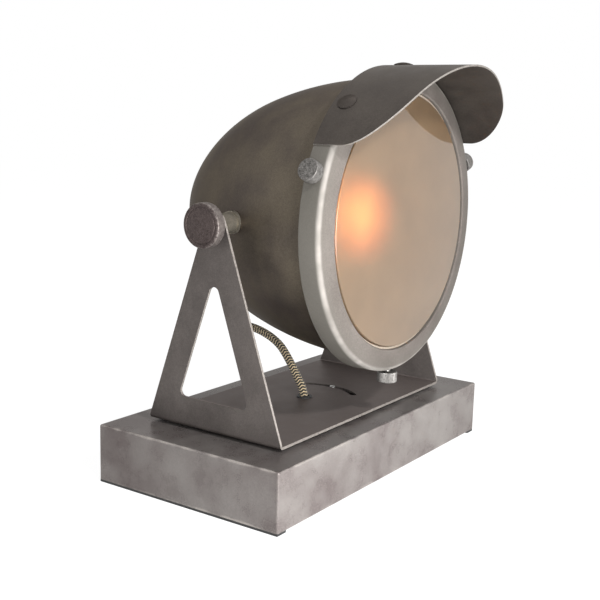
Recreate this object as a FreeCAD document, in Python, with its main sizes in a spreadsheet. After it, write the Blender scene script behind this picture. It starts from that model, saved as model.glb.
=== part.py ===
import FreeCAD, Part
import math
import os

import Sketcher

# Tabletop searchlight lamp: a heavy box base, a U shaped yoke that pans on a hollow
# pivot, and a bowl shaped head that tilts between the uprights. Millimetres.
# X runs along the long side of the base, the lens looks along -Y, and Z is up.
# The origin is the middle of the underside of the box round the whole lamp, because
# the head overhangs the base in front. All other pieces are set out from the pan axis.

Vector = FreeCAD.Vector

SIZES = [
    ("pan_axis_back", 16.12, "pan axis behind the middle of the lamp's whole depth"),
    ("foot_height", 2, "rubber strip under each short side, height"),
    ("foot_width", 10, "rubber strip, width"),
    ("foot_inset", 0.4, "rubber strip, in from the box's outer faces"),
    ("base_length", 300, "box base along X"),
    ("base_depth", 167, "box base along Y"),
    ("base_height", 43, "box base without its strips"),
    ("base_sheet", 1.5, "box base, sheet thickness"),
    ("base_corner", 1.6, "box base, rounding of its outer edges"),
    ("plate_sheet", 1.5, "bottom plate, thickness"),
    ("plate_gap", 0.3, "bottom plate to box wall, all round"),
    ("tab_place", 120, "screw tabs, distance from the middle along X"),
    ("tab_width", 14, "screw tabs, along the wall and into the box"),
    ("tab_height", 8, "screw tabs, height above the bottom plate"),
    ("base_screw_radius", 2, "bottom plate screws, shank radius"),
    ("base_screw_head", 3.8, "bottom plate screws, head radius"),
    ("base_screw_rise", 1.5, "bottom plate screws, head height"),
    ("base_screw_length", 8, "bottom plate screws, shank length"),
    ("fit_gap", 0.05, "radial clearance of pins and studs in their holes"),
    ("face_gap", 0.05, "clearance between faces that turn on each other"),
    ("soft_gap", 0.3, "clearance round soft and curved pieces"),
    ("gland_height", 20, "mains gland, height above the box underside"),
    ("gland_place", 60, "mains gland, distance from the middle along X"),
    ("gland_radius", 5.5, "mains gland, barrel radius"),
    ("gland_bore", 3.6, "mains gland, bore radius"),
    ("gland_flange", 8.5, "mains gland, flange radius"),
    ("gland_lip", 2, "mains gland, flange thickness"),
    ("gland_length", 9, "mains gland, barrel length behind its flange"),
    ("gland_snap", 0.9, "mains gland, rise of the ring that snaps in behind the wall"),
    ("block_place", 40, "terminal block, end that takes the lamp lead, from the middle"),
    ("block_side", 4, "terminal block, its middle behind the pivot axis"),
    ("block_length", 30, "terminal block along X"),
    ("block_depth", 26, "terminal block along Y"),
    ("block_height", 15, "terminal block, height"),
    ("block_pitch", 8, "terminal block, distance between its screws"),
    ("block_well", 2.8, "terminal block, radius of its screw wells"),
    ("block_well_depth", 4, "terminal block, depth of its screw wells"),
    ("block_screw", 2.3, "terminal block, radius of its screw heads"),
    ("block_screw_height", 2, "terminal block, height of its screw heads"),
    ("nipple_radius", 5, "hollow pivot, outer radius"),
    ("nipple_wall", 0.9, "hollow pivot, wall"),
    ("nipple_flange", 6.4, "hollow pivot, radius of the rolled flange"),
    ("nipple_lip", 1.3, "hollow pivot, height of the flange"),
    ("nipple_length", 17, "hollow pivot, length below the yoke floor's upper face"),
    ("pivot_gap", 2, "yoke floor above the base top"),
    ("pivot_washer_radius", 17, "washer between base and yoke, radius"),
    ("spring_radius", 10, "spring washer under the base top, radius"),
    ("spring_sheet", 1.5, "spring washer, thickness"),
    ("pivot_nut_size", 14, "pivot nuts, across flats"),
    ("pivot_nut_height", 3, "pivot nuts, height of each"),
    ("stop_radius", 2.2, "stop pin, radius"),
    ("stop_foot", 4, "stop pin, radius of its riveted foot"),
    ("stop_foot_height", 2, "stop pin, height of its riveted foot"),
    ("stop_rise", 0.5, "stop pin, rise over the yoke floor"),
    ("slot_radius", 42.3, "curved slot in the yoke floor, radius of its middle line"),
    ("slot_width", 5.4, "curved slot, width"),
    ("slot_reach", 40, "curved slot, half angle between its end centres, degrees"),
    ("yoke_span", 236, "yoke over its uprights' outer faces"),
    ("yoke_reach", 61.5, "yoke, half depth of the floor"),
    ("yoke_sheet", 2, "yoke, sheet thickness"),
    ("yoke_bend", 3, "yoke, outer bend radius"),
    ("tilt_height", 200.3, "tilt axis above the surface the lamp stands on"),
    ("tip_radius", 8.8, "uprights, radius of the rounded tip"),
    ("window_border", 20.5, "uprights, width of the band beside the window"),
    ("window_sill", 21, "uprights, height of the window above the floor"),
    ("window_corner", 4.5, "uprights, window corner radius"),
    ("stud_radius", 4, "tilt studs, radius"),
    ("stud_end", 131.5, "tilt studs, outer end from the middle"),
    ("stud_tail", 5.5, "tilt studs, length past their nuts"),
    ("knob_radius", 16, "tilt knobs, radius"),
    ("knob_height", 7.8, "tilt knobs, thickness of the round"),
    ("knob_face", 133.4, "tilt knobs, outer face from the middle"),
    ("knob_bevel", 1.2, "tilt knobs, bevel at the outer rim"),
    ("knob_groove", 1, "tilt knobs, width and depth of the groove in the face"),
    ("knob_groove_radius", 12.6, "tilt knobs, radius of the groove"),
    ("knob_hub", 8, "tilt knobs, radius of the hub behind the round"),
    ("washer_radius", 9, "washers under the knobs, radius"),
    ("washer_sheet", 1.2, "washers under the knobs, thickness"),
    ("spacer_radius", 7.35, "spacer tubes, radius"),
    ("spacer_flange", 8.3, "spacer tubes, radius of the flange at the bowl"),
    ("spacer_stand", 4.57, "spacer tubes, outer face of the flange off the bowl's side"),
    ("spacer_sink", 4.6, "spacer tubes, inner end before it is cut to the bowl"),
    ("saddle_radius", 9, "curved pads in the bowl, radius"),
    ("saddle_depth", 6.63, "curved pads in the bowl, flat face in from the bowl's side"),
    ("nut_size", 13, "stud nuts, across flats"),
    ("nut_height", 6.5, "stud nuts, height"),
    ("shell_wall", 1.2, "bowl, wall thickness"),
    ("rim_radius", 105.6, "bowl, outer radius at the rim"),
    ("rim_start", 68.3, "bowl, where the straight rim starts, ahead of the tilt axis"),
    ("rim_end", 80, "bowl, front edge of the rim, ahead of the tilt axis"),
    ("shoulder_radius", 264.6, "bowl, radius of the arc behind the rim"),
    ("shoulder_turn", 71.1, "bowl, angle from the axis where the flank starts, degrees"),
    ("flank_radius", 164.3, "bowl, radius of the flank"),
    ("nose_turn", 40, "bowl, angle from the axis where the nose starts, degrees"),
    ("exit_back", 76, "cord exit, distance behind the tilt axis"),
    ("grommet_radius", 6, "head grommet, barrel radius"),
    ("grommet_flange", 8.2, "head grommet, flange radius"),
    ("grommet_lip", 2, "head grommet, flange height outside and inside"),
    ("grommet_grip", 1.7, "head grommet, distance between its two flanges"),
    ("cord_radius", 3.4, "braided lead, radius"),
    ("lead_radius", 3, "inner leads, radius"),
    ("bracket_width", 20, "lampholder strap, width"),
    ("bracket_sheet", 2, "lampholder strap, thickness"),
    ("bracket_bend", 3, "lampholder strap, outer bend radius"),
    ("bracket_rise", 14, "lampholder strap, top of its arm over the head axis"),
    ("bracket_foot", 9, "lampholder strap, foot below the head axis"),
    ("bracket_depth", 4.16, "lampholder strap, back face in from the bowl's back"),
    ("bracket_front", 50, "lampholder strap, front face behind the tilt axis"),
    ("bracket_spacer", 7, "curved spacer between bowl and strap, radius"),
    ("back_screw_radius", 2.5, "strap screw, shank radius"),
    ("back_screw_head", 5, "strap screw, head radius"),
    ("back_screw_rise", 2.6, "strap screw, head height"),
    ("back_screw_length", 14, "strap screw, shank length"),
    ("back_nut_size", 8, "strap nut, across flats"),
    ("back_nut_height", 4, "strap nut, height"),
    ("holder_radius", 19, "lampholder, outer radius"),
    ("holder_mouth", 3, "lampholder, front edge behind the tilt axis"),
    ("holder_bore", 14.2, "lampholder, radius of its socket"),
    ("holder_floor", 30, "lampholder, depth of its socket"),
    ("holder_stem", 5, "lampholder, radius of its threaded stem"),
    ("holder_stem_length", 7, "lampholder, length of its threaded stem"),
    ("holder_nut_size", 15, "lampholder nut, across flats"),
    ("holder_nut_height", 4, "lampholder nut, height"),
    ("cap_radius", 13.4, "bulb cap, radius"),
    ("cap_wall", 0.8, "bulb cap, wall"),
    ("cap_taper", 4, "bulb cap, height of the cone at its end"),
    ("cap_contact", 5, "bulb cap, radius of its end contact"),
    ("bulb_radius", 30, "bulb, radius of the globe"),
    ("bulb_centre", 44, "bulb, centre of the globe ahead of the tilt axis"),
    ("bulb_neck", 12.5, "bulb, radius of the neck at the cap"),
    ("bulb_wall", 1, "bulb, glass thickness"),
    ("bulb_hold", 6, "bulb, length of the neck inside the cap"),
    ("bulb_waist", 22, "bulb, radius where the globe runs into the neck"),
    ("skirt_gap", 8, "bezel, outside of the skirt over the bowl's rim"),
    ("skirt_rear", 68.4, "bezel, rear edge ahead of the tilt axis"),
    ("skirt_front", 85, "bezel, front of the shoulder ahead of the tilt axis"),
    ("bezel_sheet", 1.3, "bezel, sheet thickness"),
    ("bezel_shoulder", 2.5, "bezel, outer radius of the shoulder"),
    ("ring_front", 87.2, "bezel, front of the ring at its inner edge"),
    ("ring_width", 17.2, "bezel, width of its front from the skirt to the ring's bore"),
    ("ring_return", 3.2, "bezel, depth of the ring's turned in edge"),
    ("lens_edge", 2.6, "lens, reach of its edge behind the ring"),
    ("lens_wall", 4, "lens, thickness of the glass"),
    ("lens_front", 86.3, "lens, front face ahead of the tilt axis"),
    ("lens_gap", 2.2, "lens, gap between its raised middle and the ring"),
    ("lens_step", 4.2, "lens, hollow behind the raised middle, in from its edge"),
    ("lens_bevel", 1, "lens, bevel round the front face"),
    ("gasket_wall", 1.4, "lens gasket, thickness"),
    ("gasket_reach", 1.5, "lens gasket, reach of its lips past the ring's bore"),
    ("retainer_sheet", 1.2, "lens retainer, sheet thickness"),
    ("retainer_reach", 1.2, "lens retainer, reach past the lens's raised middle"),
    ("retainer_gap", 4.3, "lens retainer, gap to the skirt"),
    ("visor_sheet", 1.3, "visor, sheet thickness"),
    ("visor_gap", 0.05, "visor over the skirt"),
    ("visor_rear", 68.7, "visor, rear edge ahead of the tilt axis"),
    ("visor_front", 140, "visor, middle of its front edge ahead of the tilt axis"),
    ("visor_sweep", 230, "visor, radius of its front edge seen from above"),
    ("visor_corner", 42, "visor, corner radius seen from above"),
    ("visor_reach", 59.5, "visor, angle from its middle to its side edge, degrees"),
    ("visor_screw_place", 79.7, "visor screws, distance ahead of the tilt axis"),
    ("visor_screw_angle", 41, "visor screws, angle either side of the top, degrees"),
    ("visor_screw_radius", 1.5, "visor screws, shank radius"),
    ("visor_screw_head", 7, "visor screws, head radius"),
    ("visor_screw_rise", 2, "visor screws, head height"),
    ("visor_screw_edge", 0.5, "visor screws, height of the head's edge"),
    ("visor_screw_length", 6.5, "visor screws, shank length"),
    ("visor_nut_size", 5.5, "visor nuts, across flats"),
    ("visor_nut_height", 2.4, "visor nuts, height"),
    ("visor_nut_gap", 0.06, "visor nuts, middle of the face to the curved skirt"),
    ("thumb_place", 77, "thumbscrews, distance ahead of the tilt axis"),
    ("thumb_angle", 70, "thumbscrews, upper two, angle from the top, degrees"),
    ("thumb_radius", 7.8, "thumbscrews, head radius"),
    ("thumb_height", 8.4, "thumbscrews, head height"),
    ("thumb_stand", 2.6, "thumbscrews, head stands off the skirt"),
    ("thumb_bevel", 0.9, "thumbscrews, head bevel"),
    ("thumb_shank", 2.5, "thumbscrews, shank radius"),
    ("thumb_tip_gap", 0.3, "thumbscrews, tip to the bowl's rim"),
]

# Sizes that follow from the ones above, as formulas in the same sheet

SIZES += [
    ("bowl_side", "=rim_radius - shoulder_radius + sqrt(shoulder_radius ^ 2 - rim_start ^ 2)",
     "bowl, outer radius beside the tilt axis"),
    ("saddle_face", "=bowl_side - saddle_depth", "curved pads, flat face from the middle"),
    ("stud_root", "=saddle_face - nut_height - stud_tail", "tilt studs, inner end"),
    ("spacer_face", "=bowl_side + spacer_stand", "spacer tubes, face of the flange"),
    ("spacer_root", "=bowl_side - spacer_sink", "spacer tubes, inner end before the cut"),
    ("skirt_radius", "=rim_radius + skirt_gap", "bezel, outer radius of the skirt"),
    ("ring_bore", "=skirt_radius - ring_width", "bezel, inner radius of the ring"),
    ("lens_radius", "=ring_bore + lens_edge", "lens, radius"),
    ("lens_middle", "=ring_bore - lens_gap", "lens, radius of the raised middle"),
    ("lens_recess", "=lens_middle - lens_step", "lens, radius of the hollow behind it"),
    ("gasket_lip", "=ring_bore - gasket_reach", "lens gasket, inner radius of its lips"),
    ("retainer_bore", "=lens_middle - retainer_reach", "lens retainer, inner radius"),
    ("retainer_radius", "=skirt_radius - bezel_sheet - retainer_gap", "lens retainer, radius"),
    ("visor_half", "=(skirt_radius + visor_gap + visor_sheet) * sin(visor_reach * 1deg)",
     "visor, half width seen from above"),
]

doc = FreeCAD.newDocument("tabletop_searchlight_lamp")
sheet = doc.addObject("Spreadsheet::Sheet", "dims")
for row, (alias, number, note) in enumerate(SIZES, start=1):
    sheet.set(f"A{row}", note)
    sheet.set(f"B{row}", str(number))
    sheet.setAlias(f"B{row}", alias)
doc.recompute()


def dim(text):
    """An expression on the sheet's names, each written bare, as the document reads it."""
    names = sorted((alias for alias, number, note in SIZES), key=len, reverse=True)
    words = []
    word = ""
    for letter in text + " ":
        if letter.isalnum() or letter in "_.":
            word += letter
            continue
        words.append("dims." + word if word in names else word)
        words.append(letter)
        word = ""
    return "".join(words).strip()


def value(text):
    """The number that an expression on the sheet's names gives."""
    return float(sheet.evalExpression(dim(text)))


# Sketches and bodies

def near(x, y, z, axis="0;0;1", turn="0"):
    """The expression of a placement: three lengths, the axis it turns about and the angle."""
    return f"placement(vector({x};{y};{z});rotation(vector({axis});{turn}))"


def at(x, y, z, axis="0;0;1", turn="0"):
    """The same, set out from the pan axis."""
    return near(x, f"pan_axis_back + ({y})", z, axis, turn)


HOME = at("0", "0", "0")
HEAD = at("0", "0", "tilt_height")


def new_body(name, place=HOME):
    body = doc.addObject("PartDesign::Body", name)
    body.Label = name
    body.setExpression("Placement", dim(place))
    return body


def new_sketch(body, plane, offset=None):
    sketch = body.newObject("Sketcher::SketchObject", body.Name + "_sketch")
    flat = next(item for item in body.Origin.OriginFeatures if item.Role == plane)
    sketch.AttachmentSupport = [(flat, "")]
    sketch.MapMode = "FlatFace"
    if offset:
        sketch.setExpression("AttachmentOffset.Base.z", dim(offset))
    return sketch


def name_and_bind(sketch, index, name, text):
    sketch.renameConstraint(index, name)
    sketch.setExpression("Constraints." + name, dim(text))


def arc_between(start, end, radius, left):
    """The arc of under a half circle from start to end, its centre on the left or right."""
    middle = (start + end) * 0.5
    along = end - start
    half = along.Length / 2
    height = math.sqrt(max(radius * radius - half * half, 0))
    side = Vector(-along.y, along.x, 0).normalize()
    centre = middle + side * (height if left else -height)
    first, last = (start, end) if left else (end, start)
    low = math.atan2(first.y - centre.y, first.x - centre.x)
    high = math.atan2(last.y - centre.y, last.x - centre.x)
    if high < low:
        high += 2 * math.pi
    return Part.ArcOfCircle(Part.Circle(centre, Vector(0, 0, 1), radius), low, high)


def draw(sketch, corners, tag=""):
    """A closed outline. A corner is (x, y), or (x, y, radius, side) where the stretch that
    leads to the next corner is an arc with its centre on that side, left or right."""
    spots = [Vector(value(corner[0]), value(corner[1]), 0) for corner in corners]
    edges = []
    for number, corner in enumerate(corners):
        start = spots[number]
        end = spots[(number + 1) % len(spots)]
        if len(corner) == 2:
            index = sketch.addGeometry(Part.LineSegment(start, end), False)
            edges.append((index, 1, 2))
        else:
            left = corner[3] == "left"
            shape = arc_between(start, end, value(corner[2]), left)
            index = sketch.addGeometry(shape, False)
            edges.append((index, 1, 2) if left else (index, 2, 1))
            radius = sketch.addConstraint(Sketcher.Constraint("Radius", index, value(corner[2])))
            name_and_bind(sketch, radius, f"radius{tag}{number}", corner[2])
    for number, corner in enumerate(corners):
        edge, begin, finish = edges[number]
        before, before_begin, before_finish = edges[number - 1]
        sketch.addConstraint(Sketcher.Constraint("Coincident", before, before_finish, edge, begin))
        for letter, kind, axis, text in (("x", "DistanceX", -2, corner[0]),
                                         ("y", "DistanceY", -1, corner[1])):
            if text == "0":
                sketch.addConstraint(Sketcher.Constraint("PointOnObject", edge, begin, axis))
            else:
                place = Sketcher.Constraint(kind, -1, 1, edge, begin, value(text))
                name_and_bind(sketch, sketch.addConstraint(place), f"{letter}{tag}{number}", text)


def draw_circle(sketch, across, up, radius, tag=""):
    spot = Vector(value(across), value(up), 0)
    index = sketch.addGeometry(Part.Circle(spot, Vector(0, 0, 1), value(radius)), False)
    size = sketch.addConstraint(Sketcher.Constraint("Radius", index, value(radius)))
    name_and_bind(sketch, size, "radius" + tag, radius)
    for letter, kind, axis, text in (("x", "DistanceX", -2, across), ("y", "DistanceY", -1, up)):
        if text == "0":
            sketch.addConstraint(Sketcher.Constraint("PointOnObject", index, 3, axis))
        else:
            place = Sketcher.Constraint(kind, -1, 1, index, 3, value(text))
            name_and_bind(sketch, sketch.addConstraint(place), letter + tag, text)


def rectangle(low_x, low_y, high_x, high_y):
    return [(low_x, low_y), (high_x, low_y), (high_x, high_y), (low_x, high_y)]


def pad(body, sketch, length, both_ways=False, reversed_way=False):
    feature = body.newObject("PartDesign::Pad", body.Name + "_pad")
    feature.Profile = sketch
    feature.setExpression("Length", dim(length))
    feature.Reversed = reversed_way
    if both_ways:
        feature.SideType = "Symmetric"
    doc.recompute()
    return feature


def pocket(body, sketch, length, reversed_way=False, both_ways=False):
    """Cuts the sketch out this deep, against the sketch's normal unless reversed."""
    before = body.Shape.Volume
    feature = body.newObject("PartDesign::Pocket", body.Name + "_pocket")
    feature.Profile = sketch
    feature.Reversed = reversed_way
    if both_ways:
        feature.SideType = "Symmetric"
    feature.setExpression("Length", dim(length))
    doc.recompute()
    if not body.Shape.Volume < before - 0.01:
        raise RuntimeError(f"{feature.Name} cuts nothing")
    return feature


def turned(name, axis, corners, place=HOME):
    """A solid of revolution. Axis Y: corners are (radius, y). Axis Z: (radius, z).
    Axis X: (x, radius)."""
    body = new_body(name, place)
    sketch = new_sketch(body, "XZ_Plane" if axis == "Z" else "XY_Plane")
    draw(sketch, corners)
    feature = body.newObject("PartDesign::Revolution", name + "_turned")
    feature.Profile = sketch
    feature.ReferenceAxis = (sketch, ["H_Axis" if axis == "X" else "V_Axis"])
    feature.Angle = 360
    doc.recompute()
    return body


def cylinder(name, radius, height, place):
    item = doc.addObject("Part::Cylinder", name)
    item.Label = name
    item.setExpression("Radius", dim(radius))
    item.setExpression("Height", dim(height))
    item.setExpression("Placement", dim(place))
    return item


def hexagon(name, across_flats, height, place):
    item = doc.addObject("Part::Prism", name)
    item.Label = name
    item.Polygon = 6
    item.setExpression("Circumradius", dim(f"({across_flats}) / 2 / cos(30deg)"))
    item.setExpression("Height", dim(height))
    item.setExpression("Placement", dim(place))
    return item


def box(name, length, width, height, place):
    item = doc.addObject("Part::Box", name)
    item.Label = name
    item.setExpression("Length", dim(length))
    item.setExpression("Width", dim(width))
    item.setExpression("Height", dim(height))
    item.setExpression("Placement", dim(place))
    return item


def cut(name, base, tool):
    item = doc.addObject("Part::Cut", name)
    item.Label = name
    item.Base = base
    item.Tool = tool
    doc.recompute()
    return item


def common(name, base, tool):
    item = doc.addObject("Part::Common", name)
    item.Label = name
    item.Base = base
    item.Tool = tool
    doc.recompute()
    return item


def fuse(name, *items):
    item = doc.addObject("Part::MultiFuse", name)
    item.Label = name
    item.Shapes = list(items)
    doc.recompute()
    return item


def group(name, *items):
    item = doc.addObject("Part::Compound", name)
    item.Label = name
    item.Links = list(items)
    doc.recompute()
    return item


NODES = []


def node(item):
    """Keeps an object as one of the lamp's pieces."""
    NODES.append(item)
    return item


# Heights and places that several pieces share

TOP = "(foot_height + base_height)"
UNDER = f"({TOP} - base_sheet)"
FLOOR = f"({TOP} + pivot_gap)"
FLOOR_TOP = f"({FLOOR} + yoke_sheet)"
BEND = f"({FLOOR} + yoke_bend)"
PLATE = "(foot_height + plate_sheet)"
WALL = "(base_depth / 2)"
TAB = "(base_depth / 2 - base_sheet - tab_width / 2)"


# Base

def base_shell():
    body = new_body("base_shell")
    sketch = new_sketch(body, "XY_Plane", "foot_height")
    draw(sketch, rectangle("-base_length / 2", f"-{WALL}", "base_length / 2", WALL))
    block = pad(body, sketch, "base_height")
    low = value("foot_height")
    edges = []
    for number, edge in enumerate(block.Shape.Edges, start=1):
        if edge.BoundBox.ZMax > low + 0.1:
            edges.append(f"Edge{number}")
    rounding = body.newObject("PartDesign::Fillet", "base_shell_rounding")
    rounding.Base = (block, edges)
    rounding.setExpression("Radius", dim("base_corner"))
    doc.recompute()
    hollow = new_sketch(body, "XY_Plane", "foot_height")
    draw(hollow, rectangle("base_sheet - base_length / 2", f"base_sheet - {WALL}",
                           "base_length / 2 - base_sheet", f"{WALL} - base_sheet"))
    pocket(body, hollow, "base_height - base_sheet", reversed_way=True)
    tabs = new_sketch(body, "XY_Plane", PLATE)
    holes = new_sketch(body, "XY_Plane", PLATE)
    for number, (across, along) in enumerate((("", ""), ("-", ""), ("", "-"), ("-", "-"))):
        low_x, high_x = f"{across}tab_place - tab_width / 2", f"{across}tab_place + tab_width / 2"
        near, far = f"{along}({TAB} - tab_width / 2)", f"{along}({WALL} - base_sheet / 2)"
        low_y, high_y = (far, near) if along else (near, far)
        draw(tabs, rectangle(low_x, low_y, high_x, high_y), f"t{number}")
        draw_circle(holes, f"{across}tab_place", f"{along}{TAB}", "base_screw_radius + fit_gap",
                    f"t{number}")
    pad(body, tabs, "tab_height")
    pocket(body, holes, "tab_height", reversed_way=True)
    top = new_sketch(body, "XY_Plane", TOP)
    draw_circle(top, "0", "0", "nipple_radius + fit_gap", "pivot")
    draw_circle(top, "slot_radius", "0", "stop_radius", "pin")
    pocket(body, top, "base_sheet * 2")
    rear = new_sketch(body, "XZ_Plane", f"-{WALL}")
    draw_circle(rear, "gland_place", "foot_height + gland_height", "gland_radius + fit_gap", "gland")
    pocket(body, rear, "base_sheet * 2", reversed_way=True)
    return body


def bottom_plate():
    body = new_body("bottom_plate")
    sketch = new_sketch(body, "XY_Plane", "foot_height")
    draw(sketch, rectangle("base_sheet + plate_gap - base_length / 2",
                           f"base_sheet + plate_gap - {WALL}",
                           "base_length / 2 - base_sheet - plate_gap",
                           f"{WALL} - base_sheet - plate_gap"))
    for number, (across, along) in enumerate((("", ""), ("-", ""), ("", "-"), ("-", "-"))):
        draw_circle(sketch, f"{across}tab_place", f"{along}{TAB}", "base_screw_radius + fit_gap",
                    f"t{number}")
    pad(body, sketch, "plate_sheet")
    return body


def bottom_screws():
    screws = []
    for number, (across, along) in enumerate((("", ""), ("-", ""), ("", "-"), ("-", "-"))):
        screws.append(turned(f"bottom_screw_{number}", "Z", [
            ("0", "foot_height - base_screw_rise"),
            ("base_screw_head * 0.8", "foot_height - base_screw_rise"),
            ("base_screw_head", "foot_height - base_screw_rise * 0.6"),
            ("base_screw_head", "foot_height"),
            ("base_screw_radius", "foot_height"),
            ("base_screw_radius", "foot_height + base_screw_length"),
            ("0", "foot_height + base_screw_length"),
        ], at(f"{across}tab_place", f"{along}{TAB}", "0")))
    return group("bottom_screws", *screws)


def terminal_block():
    body = new_body("terminal_block")
    sketch = new_sketch(body, "XY_Plane", PLATE)
    draw(sketch, rectangle("block_place", "block_side - block_depth / 2",
                           "block_place + block_length", "block_side + block_depth / 2"))
    pad(body, sketch, "block_height")
    wells = new_sketch(body, "XY_Plane", f"{PLATE} + block_height")
    for number, side in enumerate(("- block_pitch", "", "+ block_pitch")):
        for column, part in enumerate(("4", "1.3333")):
            draw_circle(wells, f"block_place + block_length / {part}", f"block_side {side}",
                        "block_well", f"w{number}{column}")
    pocket(body, wells, "block_well_depth")
    return body


def terminal_screws():
    screws = []
    for number, side in enumerate(("- block_pitch", "", "+ block_pitch")):
        for column, part in enumerate(("4", "1.3333")):
            screws.append(cylinder(f"terminal_screw_{number}{column}", "block_screw",
                                   "block_screw_height",
                                   at(f"block_place + block_length / {part}", f"block_side {side}",
                                      f"{PLATE} + block_height - block_well_depth")))
    return group("terminal_screws", *screws)


def mains_gland():
    wall = f"({WALL} - base_sheet)"
    return turned("mains_gland", "Y", [
        ("gland_bore", f"{WALL} + gland_lip"),
        ("gland_flange - 0.6", f"{WALL} + gland_lip"),
        ("gland_flange", f"{WALL} + gland_lip - 0.6"),
        ("gland_flange", WALL),
        ("gland_radius", WALL),
        ("gland_radius", f"{wall} - face_gap"),
        ("gland_radius + gland_snap", f"{wall} - face_gap"),
        ("gland_radius + gland_snap", f"{wall} - face_gap - gland_snap"),
        ("gland_radius", f"{WALL} - gland_length"),
        ("gland_bore", f"{WALL} - gland_length"),
    ], at("gland_place", "0", "foot_height + gland_height"))


def ring(name, inner, outer, low, high):
    """A plain ring round the pan axis."""
    return turned(name, "Z", [(inner, low), (outer, low), (outer, high), (inner, high)])


node(base_shell())
node(bottom_plate())
node(bottom_screws())
node(box("foot_strip_left", "foot_width", "base_depth - foot_inset * 2", "foot_height",
         at("foot_inset - base_length / 2", f"foot_inset - {WALL}", "0")))
node(box("foot_strip_right", "foot_width", "base_depth - foot_inset * 2", "foot_height",
         at("base_length / 2 - foot_inset - foot_width", f"foot_inset - {WALL}", "0")))
node(terminal_block())
node(terminal_screws())
node(mains_gland())
node(ring("pivot_washer", "nipple_radius + fit_gap", "pivot_washer_radius", TOP,
          f"{FLOOR} - face_gap"))
node(turned("stop_pin", "Z", [
    ("0", f"{UNDER} - stop_foot_height"),
    ("stop_foot", f"{UNDER} - stop_foot_height"),
    ("stop_foot", UNDER),
    ("stop_radius", UNDER),
    ("stop_radius", f"{FLOOR_TOP} + stop_rise - 0.3"),
    ("stop_radius - 0.3", f"{FLOOR_TOP} + stop_rise"),
    ("0", f"{FLOOR_TOP} + stop_rise"),
], at("slot_radius", "0", "0")))


# Yoke. LEAN is the angle of the uprights' edges from the vertical.

LEAN = (f"(atan(yoke_reach / (tilt_height - {BEND}))"
        f" - asin(tip_radius / sqrt(yoke_reach ^ 2 + (tilt_height - {BEND}) ^ 2)))")
SINK = "(window_border - tip_radius + window_corner)"
CORNER_Z = f"({FLOOR_TOP} + window_sill + window_corner)"
CORNER_Y = f"(((tilt_height - {CORNER_Z}) * sin({LEAN}) - {SINK}) / cos({LEAN}))"
APEX_Z = f"(tilt_height - {SINK} / sin({LEAN}))"


def yoke():
    body = new_body("yoke")
    inner, bend = "(yoke_span / 2 - yoke_sheet)", "(yoke_bend - yoke_sheet)"
    high = "tilt_height + tip_radius"
    sketch = new_sketch(body, "XZ_Plane")
    draw(sketch, [
        (f"-({inner} + yoke_sheet)", BEND, "yoke_bend", "left"),
        (f"yoke_bend - {inner} - yoke_sheet", FLOOR),
        (f"{inner} + yoke_sheet - yoke_bend", FLOOR, "yoke_bend", "left"),
        (f"{inner} + yoke_sheet", BEND),
        (f"{inner} + yoke_sheet", high),
        (inner, high),
        (inner, BEND, bend, "right"),
        (f"{inner} - {bend}", FLOOR_TOP),
        (f"{bend} - {inner}", FLOOR_TOP, bend, "right"),
        (f"-{inner}", BEND),
        (f"-{inner}", high),
        (f"-({inner} + yoke_sheet)", high),
    ])
    pad(body, sketch, "yoke_reach * 2", both_ways=True)
    taper = new_sketch(body, "YZ_Plane")
    draw(taper, [
        ("-yoke_reach - 5", BEND),
        ("-yoke_reach", BEND),
        (f"-tip_radius * cos({LEAN})", f"tilt_height + tip_radius * sin({LEAN})",
         "tip_radius", "right"),
        (f"tip_radius * cos({LEAN})", f"tilt_height + tip_radius * sin({LEAN})"),
        ("yoke_reach", BEND),
        ("yoke_reach + 5", BEND),
        ("yoke_reach + 5", f"{high} + 5"),
        ("-yoke_reach - 5", f"{high} + 5"),
    ])
    pocket(body, taper, "yoke_span + 10", both_ways=True)
    window = new_sketch(body, "YZ_Plane")
    side = f"window_corner * cos({LEAN})"
    rise = f"window_corner * sin({LEAN})"
    draw(window, [
        (CORNER_Y, f"{CORNER_Z} - window_corner", "window_corner", "left"),
        (f"{CORNER_Y} + {side}", f"{CORNER_Z} + {rise}"),
        (side, f"{APEX_Z} + {rise}", "window_corner", "left"),
        (f"-{side}", f"{APEX_Z} + {rise}"),
        (f"-{CORNER_Y} - {side}", f"{CORNER_Z} + {rise}", "window_corner", "left"),
        (f"-{CORNER_Y}", f"{CORNER_Z} - window_corner"),
    ])
    draw_circle(window, "0", "tilt_height", "stud_radius + fit_gap", "stud")
    pocket(body, window, "yoke_span + 10", both_ways=True)
    floor = new_sketch(body, "XY_Plane", FLOOR_TOP)
    draw_circle(floor, "0", "0", "nipple_radius + fit_gap", "pivot")
    turn, half = "slot_reach * 1deg", "slot_width / 2"
    wide, narrow = f"(slot_radius + {half})", f"(slot_radius - {half})"
    end_x = f"slot_radius * cos({turn}) - {half} * sin({turn})"
    end_y = f"slot_radius * sin({turn}) + {half} * cos({turn})"
    draw(floor, [
        (f"{wide} * cos({turn})", f"-{wide} * sin({turn})", wide, "left"),
        (f"{wide} * cos({turn})", f"{wide} * sin({turn})", half, "left"),
        (end_x, end_y, half, "left"),
        (f"{narrow} * cos({turn})", f"{narrow} * sin({turn})", narrow, "right"),
        (f"{narrow} * cos({turn})", f"-{narrow} * sin({turn})", half, "left"),
        (end_x, f"-({end_y})", half, "left"),
    ], "slot")
    pocket(body, floor, "yoke_sheet * 2")
    return body


def nut(name, across_flats, height, bore, place):
    solid = hexagon(name + "_hexagon", across_flats, height, place)
    hole = cylinder(name + "_hole", bore, height, place)
    return cut(name, solid, hole)


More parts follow.
